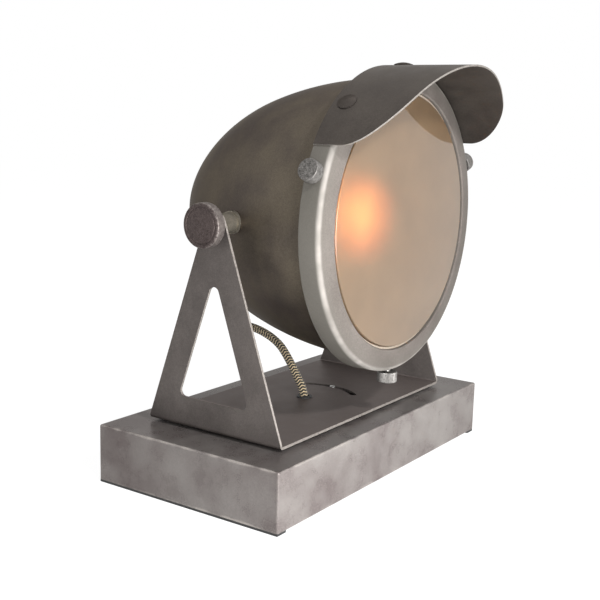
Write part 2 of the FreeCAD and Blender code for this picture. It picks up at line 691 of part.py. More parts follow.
SPRING = f"({UNDER} - face_gap)"
NUTS = f"({SPRING} - spring_sheet)"
node(yoke())
node(turned("pivot_nipple", "Z", [
    ("nipple_radius - nipple_wall", f"{FLOOR_TOP} - nipple_length"),
    ("nipple_radius", f"{FLOOR_TOP} - nipple_length"),
    ("nipple_radius", FLOOR_TOP),
    ("nipple_flange", FLOOR_TOP),
    ("nipple_flange", f"{FLOOR_TOP} + nipple_lip * 0.6"),
    ("nipple_flange - nipple_lip * 0.4", f"{FLOOR_TOP} + nipple_lip"),
    ("nipple_radius - nipple_wall", f"{FLOOR_TOP} + nipple_lip"),
]))
node(ring("pivot_spring_washer", "nipple_radius + fit_gap", "spring_radius",
          f"{SPRING} - spring_sheet", SPRING))
node(group(
    "pivot_nuts",
    nut("pivot_nut_upper", "pivot_nut_size", "pivot_nut_height", "nipple_radius + fit_gap",
        at("0", "0", f"{NUTS} - pivot_nut_height")),
    nut("pivot_nut_lower", "pivot_nut_size", "pivot_nut_height", "nipple_radius + fit_gap",
        at("0", "0", f"{NUTS} - pivot_nut_height * 2", "0;0;1", "30")),
))


# Tilt joint: the same pieces on both sides, turned half round for the left

SIDES = (("right", "0", "90"), ("left", "180", "-90"))


def across(name, corners, side):
    """A piece turned round the tilt axis, given for the right side."""
    return turned(name, "X", corners, at("0", "0", "tilt_height", "0;0;1", side))


WASHER = "(yoke_span / 2 + washer_sheet)"
HUB = f"({WASHER} + face_gap)"
for label, side, quarter in SIDES:
    node(across(f"washer_{label}", [
        ("yoke_span / 2", "stud_radius + fit_gap"), ("yoke_span / 2", "washer_radius"),
        (WASHER, "washer_radius"), (WASHER, "stud_radius + fit_gap"),
    ], side))
    node(across(f"knob_{label}", [
        (HUB, "stud_radius + fit_gap"),
        (HUB, "knob_hub"),
        ("knob_face - knob_height", "knob_hub"),
        ("knob_face - knob_height", "knob_radius - 0.8"),
        ("knob_face - knob_height + 0.8", "knob_radius"),
        ("knob_face - knob_bevel", "knob_radius"),
        ("knob_face", "knob_radius - knob_bevel"),
        ("knob_face", "knob_groove_radius + knob_groove / 2"),
        ("knob_face - knob_groove / 2", "knob_groove_radius"),
        ("knob_face", "knob_groove_radius - knob_groove / 2"),
        ("knob_face", "0"),
        ("stud_end + face_gap", "0"),
        ("stud_end + face_gap", "stud_radius + fit_gap"),
    ], side))
    node(cylinder(f"stud_{label}", "stud_radius", "stud_end - stud_root",
                  at("stud_root" if side == "0" else "-stud_root", "0", "tilt_height",
                     "0;1;0", quarter)))


# Bowl. Its outline is three arcs that run into each other: nose, flank and shoulder.

TURN_1 = "(shoulder_turn * 1deg)"
TURN_2 = "(nose_turn * 1deg)"
SHOULDER_V = f"(rim_start - shoulder_radius * cos({TURN_1}))"
SHOULDER_R = f"(rim_radius - shoulder_radius + shoulder_radius * sin({TURN_1}))"
FLANK_CENTRE_V = f"({SHOULDER_V} + flank_radius * cos({TURN_1}))"
FLANK_CENTRE_R = f"({SHOULDER_R} - flank_radius * sin({TURN_1}))"
FLANK_V = f"({FLANK_CENTRE_V} - flank_radius * cos({TURN_2}))"
FLANK_R = f"({FLANK_CENTRE_R} + flank_radius * sin({TURN_2}))"
NOSE = f"({FLANK_R} / sin({TURN_2}))"
BACK = f"({NOSE} - {NOSE} * cos({TURN_2}) - {FLANK_V})"
STRAP_BACK = f"({BACK} - bracket_depth)"


def bowl_line(depth):
    """The bowl's outline this deep under its outer face, from the back to the rim."""
    return [
        ("0", f"{BACK} - {depth}", f"{NOSE} - {depth}", "right"),
        (f"{FLANK_R} - {depth} * sin({TURN_2})", f"-{FLANK_V} - {depth} * cos({TURN_2})",
         f"flank_radius - {depth}", "right"),
        (f"{SHOULDER_R} - {depth} * sin({TURN_1})", f"-{SHOULDER_V} - {depth} * cos({TURN_1})",
         f"shoulder_radius - {depth}", "right"),
        (f"rim_radius - {depth}", "-rim_start"),
    ]


def backwards(line):
    """The same outline from its far end: each arc belongs to the corner that it leaves."""
    corners = []
    for number in range(len(line) - 1, -1, -1):
        point = line[number][:2]
        if number > 0 and len(line[number - 1]) == 4:
            side = "left" if line[number - 1][3] == "right" else "right"
            point = point + (line[number - 1][2], side)
        corners.append(point)
    return corners


shell_outer = turned("bowl_outside", "Y", bowl_line("0") + [
    ("rim_radius", "-rim_end"), ("0", "-rim_end")], HEAD)
shell_inner = turned("bowl_inside", "Y", bowl_line("shell_wall") + [
    ("rim_radius - shell_wall", "-rim_end"), ("0", "-rim_end")], HEAD)

# The cord leaves the bowl square to its face, below and behind the tilt axis.
EXIT_TURN = f"acos(({FLANK_CENTRE_V} + exit_back) / flank_radius)"
EXIT_R = f"({FLANK_CENTRE_R} + flank_radius * sin({EXIT_TURN}))"
EXIT = at("0", "exit_back", f"tilt_height - {EXIT_R}", "1;0;0", f"-90 - {EXIT_TURN} / 1deg")


def head_shell():
    body = turned("bowl_blank", "Y", bowl_line("0") + [
        ("rim_radius", "-rim_end"), ("rim_radius - shell_wall", "-rim_end"),
    ] + backwards(bowl_line("shell_wall")), HEAD)
    studs = new_sketch(body, "YZ_Plane")
    draw_circle(studs, "0", "0", "stud_radius + fit_gap", "stud")
    pocket(body, studs, "rim_radius * 3", both_ways=True)
    back = new_sketch(body, "XZ_Plane")
    draw_circle(back, "0", "0", "back_screw_radius + fit_gap", "back")
    pocket(body, back, f"{BACK} + 5")
    outlet = cylinder("bowl_outlet", "grommet_radius + fit_gap", "grommet_radius * 4",
                      EXIT + " * " + near("0", "0", "-grommet_radius * 2"))
    return cut("head_shell", body, outlet)


node(head_shell())
for label, side, quarter in SIDES:
    blank = across(f"spacer_{label}_blank", [
        ("spacer_root", "stud_radius + fit_gap"),
        ("spacer_root", "spacer_flange"),
        ("spacer_face", "spacer_flange"),
        ("spacer_face", "spacer_radius"),
        ("yoke_span / 2 - yoke_sheet - face_gap", "spacer_radius"),
        ("yoke_span / 2 - yoke_sheet - face_gap", "stud_radius + fit_gap"),
    ], side)
    node(cut(f"spacer_{label}", blank, shell_outer))
    blank = across(f"saddle_{label}_blank", [
        ("saddle_face", "stud_radius + fit_gap"),
        ("saddle_face", "saddle_radius"),
        ("rim_radius", "saddle_radius"),
        ("rim_radius", "stud_radius + fit_gap"),
    ], side)
    node(common(f"saddle_{label}", blank, shell_inner))
    node(nut(f"stud_nut_{label}", "nut_size", "nut_height", "stud_radius + fit_gap",
             at("saddle_face - nut_height" if side == "0" else "nut_height - saddle_face",
                "0", "tilt_height", "0;1;0", quarter)))
node(turned("head_grommet", "Z", [
    ("cord_radius + soft_gap", "grommet_lip"),
    ("grommet_flange - 0.8", "grommet_lip"),
    ("grommet_flange", "grommet_lip - 0.8"),
    ("grommet_flange", "0"),
    ("grommet_radius", "0"),
    ("grommet_radius", "-grommet_grip"),
    ("grommet_flange", "-grommet_grip"),
    ("grommet_flange - 0.8", "-grommet_grip - grommet_lip"),
    ("cord_radius + soft_gap", "-grommet_grip - grommet_lip"),
], EXIT))


# Lampholder and bulb, all on the axis of the head

def on_axis(name, corners):
    return turned(name, "Y", corners, HEAD)


def holder_bracket():
    body = new_body("holder_bracket", HEAD)
    low, high = "bracket_front", STRAP_BACK
    top, bend, inner = "bracket_rise", "bracket_bend", "(bracket_bend - bracket_sheet)"
    sketch = new_sketch(body, "YZ_Plane")
    draw(sketch, [
        (low, "-bracket_foot"),
        (f"{low} + bracket_sheet", "-bracket_foot"),
        (f"{low} + bracket_sheet", f"{top} - {bend}", inner, "right"),
        (f"{low} + {bend}", f"{top} - bracket_sheet"),
        (f"{high} - {bend}", f"{top} - bracket_sheet", inner, "right"),
        (f"{high} - bracket_sheet", f"{top} - {bend}"),
        (f"{high} - bracket_sheet", "-bracket_foot"),
        (high, "-bracket_foot"),
        (high, f"{top} - {bend}", bend, "left"),
        (f"{high} - {bend}", top),
        (f"{low} + {bend}", top, bend, "left"),
        (low, f"{top} - {bend}"),
    ])
    pad(body, sketch, "bracket_width", both_ways=True)
    for offset, radius in ((low, "holder_stem"), (f"{high} - bracket_sheet", "back_screw_radius")):
        hole = new_sketch(body, "XZ_Plane", f"-({offset})")
        draw_circle(hole, "0", "0", f"{radius} + fit_gap")
        pocket(body, hole, "bracket_sheet")
    return body


def along_head(y):
    """A placement whose Z axis points forward out of the head, from this far behind the axis."""
    return at("0", y, "tilt_height", "1;0;0", "90")


node(holder_bracket())
spacer = on_axis("bracket_spacer_blank", [
    ("back_screw_radius + fit_gap", STRAP_BACK), ("bracket_spacer", STRAP_BACK),
    ("bracket_spacer", BACK), ("back_screw_radius + fit_gap", BACK)])
node(common("bracket_spacer", spacer, shell_inner))
node(on_axis("bracket_screw", [
    ("0", f"{BACK} + back_screw_rise"),
    ("back_screw_head * 0.5", f"{BACK} + back_screw_rise * 0.95"),
    ("back_screw_head * 0.9", f"{BACK} + back_screw_rise * 0.6"),
    ("back_screw_head", BACK),
    ("back_screw_radius", BACK),
    ("back_screw_radius", f"{BACK} - back_screw_length"),
    ("0", f"{BACK} - back_screw_length"),
]))
node(nut("bracket_nut", "back_nut_size", "back_nut_height", "back_screw_radius + fit_gap",
         along_head(f"{STRAP_BACK} - bracket_sheet")))
SOCKET = "(holder_mouth + holder_floor)"
node(on_axis("lampholder", [
    ("0", "bracket_front + holder_stem_length"),
    ("holder_stem", "bracket_front + holder_stem_length"),
    ("holder_stem", "bracket_front"),
    ("holder_radius - 1.5", "bracket_front"),
    ("holder_radius", "bracket_front - 1.5"),
    ("holder_radius", "holder_mouth + 1"),
    ("holder_radius - 1", "holder_mouth"),
    ("holder_bore", "holder_mouth"),
    ("holder_bore", SOCKET),
    ("0", SOCKET),
]))
node(nut("holder_nut", "holder_nut_size", "holder_nut_height", "holder_stem + fit_gap",
         along_head("bracket_front + bracket_sheet + holder_nut_height")))
CAP = "(holder_mouth + 1)"
CAP_END = f"({SOCKET} - face_gap)"
node(on_axis("bulb_cap", [
    ("cap_radius", CAP),
    ("cap_radius", f"{CAP_END} - cap_taper"),
    ("cap_contact", CAP_END),
    ("0", CAP_END),
    ("0", f"{CAP_END} - cap_taper - 1"),
    ("cap_radius - cap_wall", f"{CAP_END} - cap_taper - 1"),
    ("cap_radius - cap_wall", CAP),
]))
# The globe runs into the neck by an arc that bends the other way.
WAIST_V = "(sqrt(bulb_radius ^ 2 - bulb_waist ^ 2))"


def bulb_line(depth):
    globe = f"bulb_radius - {depth}"
    scale = f"(({globe}) / bulb_radius)"
    return [
        ("0", f"-bulb_centre - ({globe})", globe, "left"),
        (f"{globe}", "-bulb_centre", globe, "left"),
        (f"bulb_waist * {scale}", f"{WAIST_V} * {scale} - bulb_centre"),
        (f"bulb_neck - {depth}", "-6"),
        (f"bulb_neck - {depth}", f"{CAP} + bulb_hold"),
    ]


node(on_axis("bulb_glass", bulb_line("0") + backwards(bulb_line("bulb_wall"))))


# Bezel, lens and visor

SLOPE = "((ring_front - skirt_front) / (skirt_radius - bezel_shoulder - ring_bore - bezel_sheet))"
RING_IN = "(ring_bore + bezel_sheet)"
RING_OUT = "(skirt_radius - bezel_shoulder)"
RETURN = "(ring_front - ring_return)"
SKIRT_IN = "(skirt_radius - bezel_sheet)"
VISOR_IN = "(skirt_radius + visor_gap)"
VISOR_OUT = f"({VISOR_IN} + visor_sheet)"
SHOULDERS = (("left", "-thumb_angle"), ("right", "thumb_angle"), ("bottom", "180"))
CROWN = (("left", "-visor_screw_angle"), ("middle", "0"), ("right", "visor_screw_angle"))


def radial(place, angle):
    """A placement on the head's axis, its Z axis pointing out at this clock angle."""
    return at("0", f"-{place}", "tilt_height", "0;1;0", angle)


def holes(name, places, along, radius):
    return [cylinder(f"{name}_{label}", f"{radius} + fit_gap", "skirt_radius + 10",
                     radial(along, angle)) for label, angle in places]


bezel_blank = on_axis("bezel_blank", [
    ("skirt_radius", "-skirt_rear"),
    ("skirt_radius", "bezel_shoulder - skirt_front", "bezel_shoulder", "right"),
    (RING_OUT, "-skirt_front"),
    (RING_IN, "-ring_front", "bezel_sheet", "right"),
    ("ring_bore", "bezel_sheet - ring_front"),
    ("ring_bore", f"-{RETURN}"),
    (RING_IN, f"-{RETURN}"),
    (RING_IN, "bezel_sheet - ring_front"),
    (RING_OUT, "bezel_sheet - skirt_front", "bezel_shoulder - bezel_sheet", "left"),
    (SKIRT_IN, "bezel_shoulder - skirt_front"),
    (SKIRT_IN, "-skirt_rear"),
])
node(cut("bezel_ring", bezel_blank, fuse(
    "bezel_holes",
    *holes("thumb_hole", SHOULDERS, "thumb_place", "thumb_shank"),
    *holes("crown_hole", CROWN, "visor_screw_place", "visor_screw_radius"),
)))
GASKET_OUT = "(lens_radius + gasket_wall)"
LENS_RIM = f"({RETURN} - gasket_wall)"
LENS_BACK = f"({LENS_RIM} - lens_wall)"
GASKET_BACK = f"({LENS_BACK} - gasket_wall)"
node(on_axis("lens_gasket", [
    ("gasket_lip", f"-{RETURN}"),
    ("gasket_lip", f"-{LENS_RIM}"),
    ("lens_radius", f"-{LENS_RIM}"),
    ("lens_radius", f"-{LENS_BACK}"),
    ("gasket_lip", f"-{LENS_BACK}"),
    ("gasket_lip", f"-{GASKET_BACK}"),
    (GASKET_OUT, f"-{GASKET_BACK}"),
    (GASKET_OUT, f"-{RETURN}"),
]))
node(on_axis("lens_glass", [
    ("0", "-lens_front"),
    ("0", "lens_wall - lens_front"),
    ("lens_recess", "lens_wall - lens_front"),
    ("lens_recess", f"-{LENS_BACK}"),
    ("lens_radius", f"-{LENS_BACK}"),
    ("lens_radius", f"-{LENS_RIM}"),
    ("lens_middle", f"-{LENS_RIM}"),
    ("lens_middle", "lens_bevel - lens_front"),
    ("lens_middle - lens_bevel", "-lens_front"),
]))


def ring_back(radius):
    """How far ahead of the tilt axis the back of the bezel's ring is at this radius."""
    return f"(skirt_front - bezel_sheet + ({RING_OUT} - {radius}) * {SLOPE})"


node(on_axis("lens_retainer", [
    ("retainer_radius", f"-{ring_back('retainer_radius')}"),
    (GASKET_OUT, f"-{ring_back(GASKET_OUT)}"),
    (GASKET_OUT, f"-{GASKET_BACK}"),
    ("retainer_bore", f"-{GASKET_BACK}"),
    ("retainer_bore", f"retainer_sheet - {GASKET_BACK}"),
    (f"{GASKET_OUT} + retainer_sheet", f"retainer_sheet - {GASKET_BACK}"),
    (f"{GASKET_OUT} + retainer_sheet",
     f"retainer_sheet - {ring_back(f'({GASKET_OUT} + retainer_sheet)')}"),
    ("retainer_radius", f"retainer_sheet - {ring_back('retainer_radius')}"),
]))


def visor():
    tube = on_axis("visor_tube", [
        (VISOR_IN, "-visor_rear"), (VISOR_OUT, "-visor_rear"),
        (VISOR_OUT, "-visor_front - 5"), (VISOR_IN, "-visor_front - 5")])
    body = new_body("visor_plan", HEAD)
    centre_x = "(visor_half - visor_corner)"
    reach = "(visor_sweep - visor_corner)"
    centre_v = f"(visor_front - visor_sweep + sqrt({reach} ^ 2 - {centre_x} ^ 2))"
    meet_x = f"({centre_x} * visor_sweep / {reach})"
    meet_v = (f"(visor_front - visor_sweep + ({centre_v} - visor_front + visor_sweep)"
              f" * visor_sweep / {reach})")
    sketch = new_sketch(body, "XY_Plane")
    draw(sketch, [
        ("-visor_half", "-visor_rear"),
        ("-visor_half", f"-{centre_v}", "visor_corner", "left"),
        (f"-{meet_x}", f"-{meet_v}", "visor_sweep", "left"),
        (meet_x, f"-{meet_v}", "visor_corner", "left"),
        ("visor_half", f"-{centre_v}"),
        ("visor_half", "-visor_rear"),
    ])
    pad(body, sketch, f"{VISOR_OUT} + 5")
    sheet_metal = common("visor_sheet_blank", tube, body)
    drilled = fuse("visor_holes", *holes("visor_hole", CROWN, "visor_screw_place",
                                         "visor_screw_radius"))
    return cut("visor", sheet_metal, drilled)


node(visor())
THUMB = "(skirt_radius + thumb_stand)"
RISE = "(visor_screw_rise - visor_screw_edge)"
DOME = f"((visor_screw_head ^ 2 + {RISE} ^ 2) / (2 * {RISE}))"
node(group("visor_screws", *[turned(f"visor_screw_{label}", "Z", [
    ("0", f"{VISOR_OUT} - visor_screw_length"),
    ("visor_screw_radius", f"{VISOR_OUT} - visor_screw_length"),
    ("visor_screw_radius", VISOR_OUT),
    ("visor_screw_head", VISOR_OUT),
    ("visor_screw_head", f"{VISOR_OUT} + visor_screw_edge", DOME, "left"),
    ("0", f"{VISOR_OUT} + visor_screw_rise"),
], radial("visor_screw_place", angle)) for label, angle in CROWN]))
node(group("visor_nuts", *[nut(
    f"visor_nut_{label}", "visor_nut_size", "visor_nut_height", "visor_screw_radius + fit_gap",
    radial("visor_screw_place", angle) + " * "
    + near("0", "0", f"{SKIRT_IN} - visor_nut_gap - visor_nut_height")) for label, angle in CROWN]))
for label, angle in SHOULDERS:
    node(turned(f"thumbscrew_{label}", "Z", [
        ("0", "rim_radius + thumb_tip_gap"),
        ("thumb_shank", "rim_radius + thumb_tip_gap"),
        ("thumb_shank", THUMB),
        ("thumb_radius - thumb_bevel", THUMB),
        ("thumb_radius", f"{THUMB} + thumb_bevel"),
        ("thumb_radius", f"{THUMB} + thumb_height - thumb_bevel"),
        ("thumb_radius - thumb_bevel", f"{THUMB} + thumb_height"),
        ("0", f"{THUMB} + thumb_height"),
    ], radial("thumb_place", angle)))


# Leads: tubes along straight runs joined by tangent arcs

def path_of(points):
    """The wire through the points, each corner an arc of 0.45 of its shorter run."""
    edges = []
    radii = []
    last = points[0]
    for number in range(1, len(points) - 1):
        before = (points[number] - points[number - 1])
        after = (points[number + 1] - points[number])
        reach = 0.45 * min(before.Length, after.Length)
        half = before.getAngle(after) / 2
        radius = reach / math.tan(half)
        radii.append(round(radius, 1))
        start = points[number] - before.normalize() * reach
        end = points[number] + after.normalize() * reach
        inward = (start + end) * 0.5 - points[number]
        inward.normalize()
        middle = points[number] + inward * (radius / math.cos(half) - radius)
        edges.append(Part.LineSegment(last, start).toShape())
        edges.append(Part.Arc(start, middle, end).toShape())
        last = end
    edges.append(Part.LineSegment(last, points[-1]).toShape())
    return Part.Wire(edges), radii


def tube(name, route, radius):
    """A tube along a route that is set out from the pan axis."""
    points = [point + Vector(0, value("pan_axis_back"), 0) for point in route]
    wire, radii = path_of(points)
    start = Part.Circle(points[0], points[1] - points[0], value(radius)).toShape()
    solid = wire.makePipeShell([Part.Wire([start])], True, False)
    item = doc.addObject("Part::Feature", name)
    item.Label = name
    item.Shape = solid
    expected = math.pi * value(radius) ** 2 * wire.Length
    print(f"{name}: length {wire.Length:.1f}, arc radii {radii}, "
          f"volume over section times length {item.Shape.Volume / expected:.4f}")
    print(name, "route", [tuple(round(number, 2) for number in point) for point in points])
    if abs(item.Shape.Volume / expected - 1) > 0.01:
        raise RuntimeError(f"{name} isn't a plain tube")
    return item


turn = math.radians(90) - math.acos((value(FLANK_CENTRE_V) + value("exit_back"))
                                    / value("flank_radius"))
exit_point = Vector(0, value("exit_back"), value("tilt_height") - value(EXIT_R))
inward = Vector(0, -math.sin(turn), math.cos(turn))
bore = value(f"{FLOOR_TOP} + nipple_lip") - 8.3
junction = exit_point + inward * 5
node(tube("link_cord", [
    Vector(0, 0, bore),
    Vector(0, 0, 53),
    Vector(0, 8.6, 66),
    Vector(0, 17, 79),
    Vector(0, 27.7, 91.2),
    Vector(0, 48, 99.4),
    Vector(0, 68.2, 100.6),
    Vector(0, 80.1, value("tilt_height") - 91),
    Vector(0, 85.2, value("tilt_height") - 77.4),
    exit_point - inward * 9.2,
    junction,
], "cord_radius"))
node(tube("head_lead", [
    junction,
    junction + inward * 12.6,
    Vector(0, 53.9, value("tilt_height") - 34.4),
    Vector(0, 46.9, value("tilt_height") - 26),
    Vector(0, 46.9, value("tilt_height - holder_radius")),
], "lead_radius"))
node(tube("base_lead", [
    Vector(0, 0, bore),
    Vector(0, 0, 29.5),
    Vector(2.6, 0, 20.3),
    Vector(8.2, 0, 12.9),
    Vector(16.6, 0, 9),
    Vector(25, 1.2, 9),
    Vector(33, value("block_side"), 9),
    Vector(value("block_place"), value("block_side"), 9),
], "lead_radius"))


# Checks, then one file for each piece

doc.recompute()
os.makedirs("parts", exist_ok=True)
names = set()
for item in doc.Objects:
    if "Invalid" in item.State or "Error" in item.State:
        raise RuntimeError(f"{item.Label} has an error")
for item in NODES:
    if item.Shape.isNull() or not item.Shape.isValid() or not item.Shape.Solids:
        raise RuntimeError(f"{item.Label} has no valid solid")
    if item.Label in names:
        raise RuntimeError(f"{item.Label} is there twice")
    names.add(item.Label)
for item in NODES:
    item.Shape.exportStep(f"parts/{item.Label}.step")
    size = item.Shape.BoundBox
    print(f"{item.Label}: {len(item.Shape.Solids)} solid(s), {item.Shape.Volume:.1f} mm3, "
          f"x {size.XMin:.2f} {size.XMax:.2f}, y {size.YMin:.2f} {size.YMax:.2f}, "
          f"z {size.ZMin:.2f} {size.ZMax:.2f}")
print(len(NODES), "pieces")
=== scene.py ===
import math

import bmesh
import bpy
import numpy as np
from mathutils import Matrix, Vector


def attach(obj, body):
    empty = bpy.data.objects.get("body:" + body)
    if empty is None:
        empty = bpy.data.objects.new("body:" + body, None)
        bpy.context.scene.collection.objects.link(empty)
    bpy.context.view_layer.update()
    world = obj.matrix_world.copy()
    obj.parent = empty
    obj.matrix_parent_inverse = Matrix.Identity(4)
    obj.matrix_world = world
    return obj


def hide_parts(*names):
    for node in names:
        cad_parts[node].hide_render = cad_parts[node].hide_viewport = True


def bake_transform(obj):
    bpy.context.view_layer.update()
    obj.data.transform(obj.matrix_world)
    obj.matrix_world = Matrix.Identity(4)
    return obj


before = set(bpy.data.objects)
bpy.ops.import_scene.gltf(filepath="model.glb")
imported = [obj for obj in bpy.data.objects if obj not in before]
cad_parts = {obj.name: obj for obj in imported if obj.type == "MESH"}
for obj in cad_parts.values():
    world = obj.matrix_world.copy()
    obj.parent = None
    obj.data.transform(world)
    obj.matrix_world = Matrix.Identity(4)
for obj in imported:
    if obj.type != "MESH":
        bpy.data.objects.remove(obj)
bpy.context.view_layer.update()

bl_info = {
    "name": "Tabletop searchlight lamp",
    "version": (1, 0, 0),
    "blender": (4, 5, 0),
    "location": "View3D > Sidebar > Searchlight",
    "description": "Builds the finished surfaces and materials of a tabletop searchlight lamp",
    "category": "Add Mesh",
}

MM = 0.001

# The lamp's axes, and the places on it that its finishes look for, in metres

PAN_Y = 16.12 * MM
TILT_Z = 200.3 * MM
HEAD_AXIS = ((0, PAN_Y, TILT_Z), (0, -1, 0), (1, 0, 0))
BASE_LENGTH, BASE_DEPTH = 300 * MM, 167 * MM
BASE_FOOT, BASE_TOP = 2 * MM, 45 * MM
SLOT_RADIUS = 42.3 * MM
BULB_RADIUS = 30 * MM

# Features per metre in the layers of noise that make up a patina

CLOUDS, MOTTLE, SPECKS, GRAIN = 18, 75, 520, 1500
PATINA_CONTRAST = 0.24

# Tones that more than one finish uses

CUT_STEEL = (0.4, 0.365, 0.335)


# Shader maths

class Value:
    """A number in a node tree. Sums on it add Math nodes."""

    def __init__(self, nodes, socket):
        self.nodes = nodes
        self.socket = socket

    def maths(self, operation, *others):
        settings = {"operation": operation}
        inputs = dict(enumerate((self,) + others))
        return Value(self.nodes, self.nodes.node("ShaderNodeMath", settings, inputs).outputs[0])

    def swapped(self, operation, other):
        node = self.nodes.node("ShaderNodeMath", {"operation": operation}, {0: other, 1: self})
        return Value(self.nodes, node.outputs[0])

    def __add__(self, other):
        return self.maths("ADD", other)

    __radd__ = __add__

    def __sub__(self, other):
        return self.maths("SUBTRACT", other)

    def __rsub__(self, other):
        return self.swapped("SUBTRACT", other)

    def __mul__(self, other):
        return self.maths("MULTIPLY", other)

    __rmul__ = __mul__

    def __truediv__(self, other):
        return self.maths("DIVIDE", other)

    def __pow__(self, other):
        return self.maths("POWER", other)

    def __abs__(self):
        return self.maths("ABSOLUTE")

    def least(self, other):
        return self.maths("MINIMUM", other)

    def most(self, other):
        return self.maths("MAXIMUM", other)

    def fraction(self):
        return self.maths("FRACT")

    def step(self, low, high):
        """0 below low, 1 above high, and a smooth rise between them."""
        node = self.nodes.node("ShaderNodeMapRange", {"interpolation_type": "SMOOTHSTEP"},
                               {"Value": self, "From Min": low, "From Max": high})
        return Value(self.nodes, node.outputs["Result"])


class Nodes:
    """The node tree of a material or a world, emptied first."""

    def __init__(self, owner, output):
        owner.use_nodes = True
        self.tree = owner.node_tree
        self.tree.nodes.clear()
        self.output = self.node(output)

    def node(self, kind, settings=None, inputs=None):
        """Adds a node, its settings first, then the values or links of its sockets."""
        made = self.tree.nodes.new(kind)
        for key, value in (settings or {}).items():
            setattr(made, key, value)
        for key, value in (inputs or {}).items():
            socket = made.inputs[key]
            value = value.socket if isinstance(value, Value) else value
            if isinstance(value, bpy.types.NodeSocket):
                self.tree.links.new(value, socket)
            elif socket.type == "RGBA" and len(value) == 3:
                socket.default_value = (*value, 1.0)
            else:
                socket.default_value = value
        return made

    def rays(self):
        """A function that gives 1 for rays of the named kind and 0 for all others."""
        outputs = self.node("ShaderNodeLightPath").outputs
        return lambda kind: Value(self, outputs[f"Is {kind} Ray"])

    def close(self, shader):
        """Ends the tree in this shader node."""
        self.tree.links.new(shader.outputs[0], self.output.inputs["Surface"])


class Finish(Nodes):
    """A material under construction, with its coordinates in metres."""

    def __init__(self, name):
        self.material = bpy.data.materials.new(name)
        super().__init__(self.material, "ShaderNodeOutputMaterial")
        coordinates = self.node("ShaderNodeTexCoord")
        self.place = coordinates.outputs["Object"]
        self.normal = coordinates.outputs["Normal"]

    def split(self, vector):
        """The three numbers of a vector."""
        node = self.node("ShaderNodeSeparateXYZ", None, {0: vector})
        return [Value(self, socket) for socket in node.outputs]

    def head_radius(self):
        """Distance from the head's axis."""
        x, y, z = self.split(self.place)
        return (x ** 2 + (z - TILT_Z) ** 2) ** 0.5

    def facing_out(self):
        """1 on faces that look straight out from the head's axis or in to it, 0 on those
        that look along it or round it."""
        x, y, z = self.split(self.place)
        nx, ny, nz = self.split(self.normal)
        return abs((nx * x + nz * (z - TILT_Z)) / self.head_radius())

    def noise(self, scale, detail, roughness):
        """Noise from 0 to 1, its scale in features per metre."""
        node = self.node("ShaderNodeTexNoise", None, {
            "Vector": self.place, "Scale": scale, "Detail": detail, "Roughness": roughness})
        return Value(self, node.outputs["Fac"])

    def mix(self, first, second, factor):
        """A colour between two colours."""
        node = self.node("ShaderNodeMix", {"data_type": "RGBA"}, {0: factor, 6: first, 7: second})
        return node.outputs[2]

    def overlay(self, colour, shade, strength):
        """A colour made lighter or darker by a grey that is neutral at 0.5."""
        grey = self.node("ShaderNodeCombineColor", None, {0: shade, 1: shade, 2: shade})
        node = self.node("ShaderNodeMix", {"data_type": "RGBA", "blend_type": "OVERLAY"},
                         {0: strength, 6: colour, 7: grey.outputs[0]})
        return node.outputs[2]

    def bump(self, height, distance, strength):
        return self.node("ShaderNodeBump", None, {
            "Height": height, "Distance": distance, "Strength": strength}).outputs[0]

    def surface(self, **sockets):
        """The finished surface, its socket names written with underscores for spaces."""
        inputs = {name.replace("_", " "): value for name, value in sockets.items()}
        self.close(self.node("ShaderNodeBsdfPrincipled", None, inputs))
        return self.material


def patina(name, dark, light, rough, cloud=1.0, grain=0.5, metallic=0.8, wear=None, bright=None,
           relief=0.04 * MM, painted_shading=None, painted_shading_colour=None, edge=0.36):
    """Lacquered raw steel: clouds a few centimetres across and finer mottling mix two
    tones, a fine grain darkens and roughens it, and worn places show bright metal. wear
    and the shading mask are functions that give a mask from 0 to 1; where the shading
    mask is high, its colour paints light or shade over the patina. edge is how much the
    steel reflects at a grazing angle."""
    finish = Finish(name)
    clouds = finish.noise(CLOUDS * cloud, 4, 0.5)
    mottle = finish.noise(MOTTLE * cloud, 2, 0.5)
    fine = finish.noise(GRAIN, 2, 0.6)
    specks = finish.noise(SPECKS, 3, 0.7)
    cloudy = (clouds * 0.7 + mottle * 0.3).step(0.5 - PATINA_CONTRAST, 0.5 + PATINA_CONTRAST)
    shade = ((fine - 0.5) * 1.3 + (specks - 0.5) * 0.8) * grain + 0.5
    colour = finish.overlay(finish.mix(dark, light, cloudy), shade, 0.55)
    # Painted light and shade: a second colour laid over the patina where the shading mask is high
    if painted_shading:
        colour = finish.mix(colour, painted_shading_colour, painted_shading(finish) * 0.6)
    roughness = (mottle - 0.5) * 0.22 + (fine - 0.5) * 0.12 + rough
    if wear:
        mask = wear(finish, mottle, specks)
        colour = finish.mix(colour, bright, mask)
        roughness = roughness - mask * 0.12
    return finish.surface(
        Base_Color=colour, Metallic=metallic, Roughness=roughness,
        Specular_IOR_Level=0.25, Specular_Tint=(edge, edge * 0.96, edge * 0.92, 1.0),
        Normal=finish.bump(fine * 0.5 + specks * 0.5, relief, 0.6))


def plated(name, colour, rough):
    """Plated steel with fine speckle and slight smears."""
    finish = Finish(name)
    speckle = finish.noise(2200, 2, 0.6)
    smear = finish.noise(140, 4, 0.6)
    dull = tuple(0.55 * part for part in colour)
    return finish.surface(
        Base_Color=finish.mix(dull, colour, (speckle * 0.4 + smear * 0.6).step(0.3, 0.6)),
        Metallic=1.0, Roughness=(smear - 0.5) * 0.25 + (speckle - 0.5) * 0.2 + rough,
        Normal=finish.bump(speckle, 0.03 * MM, 0.5))


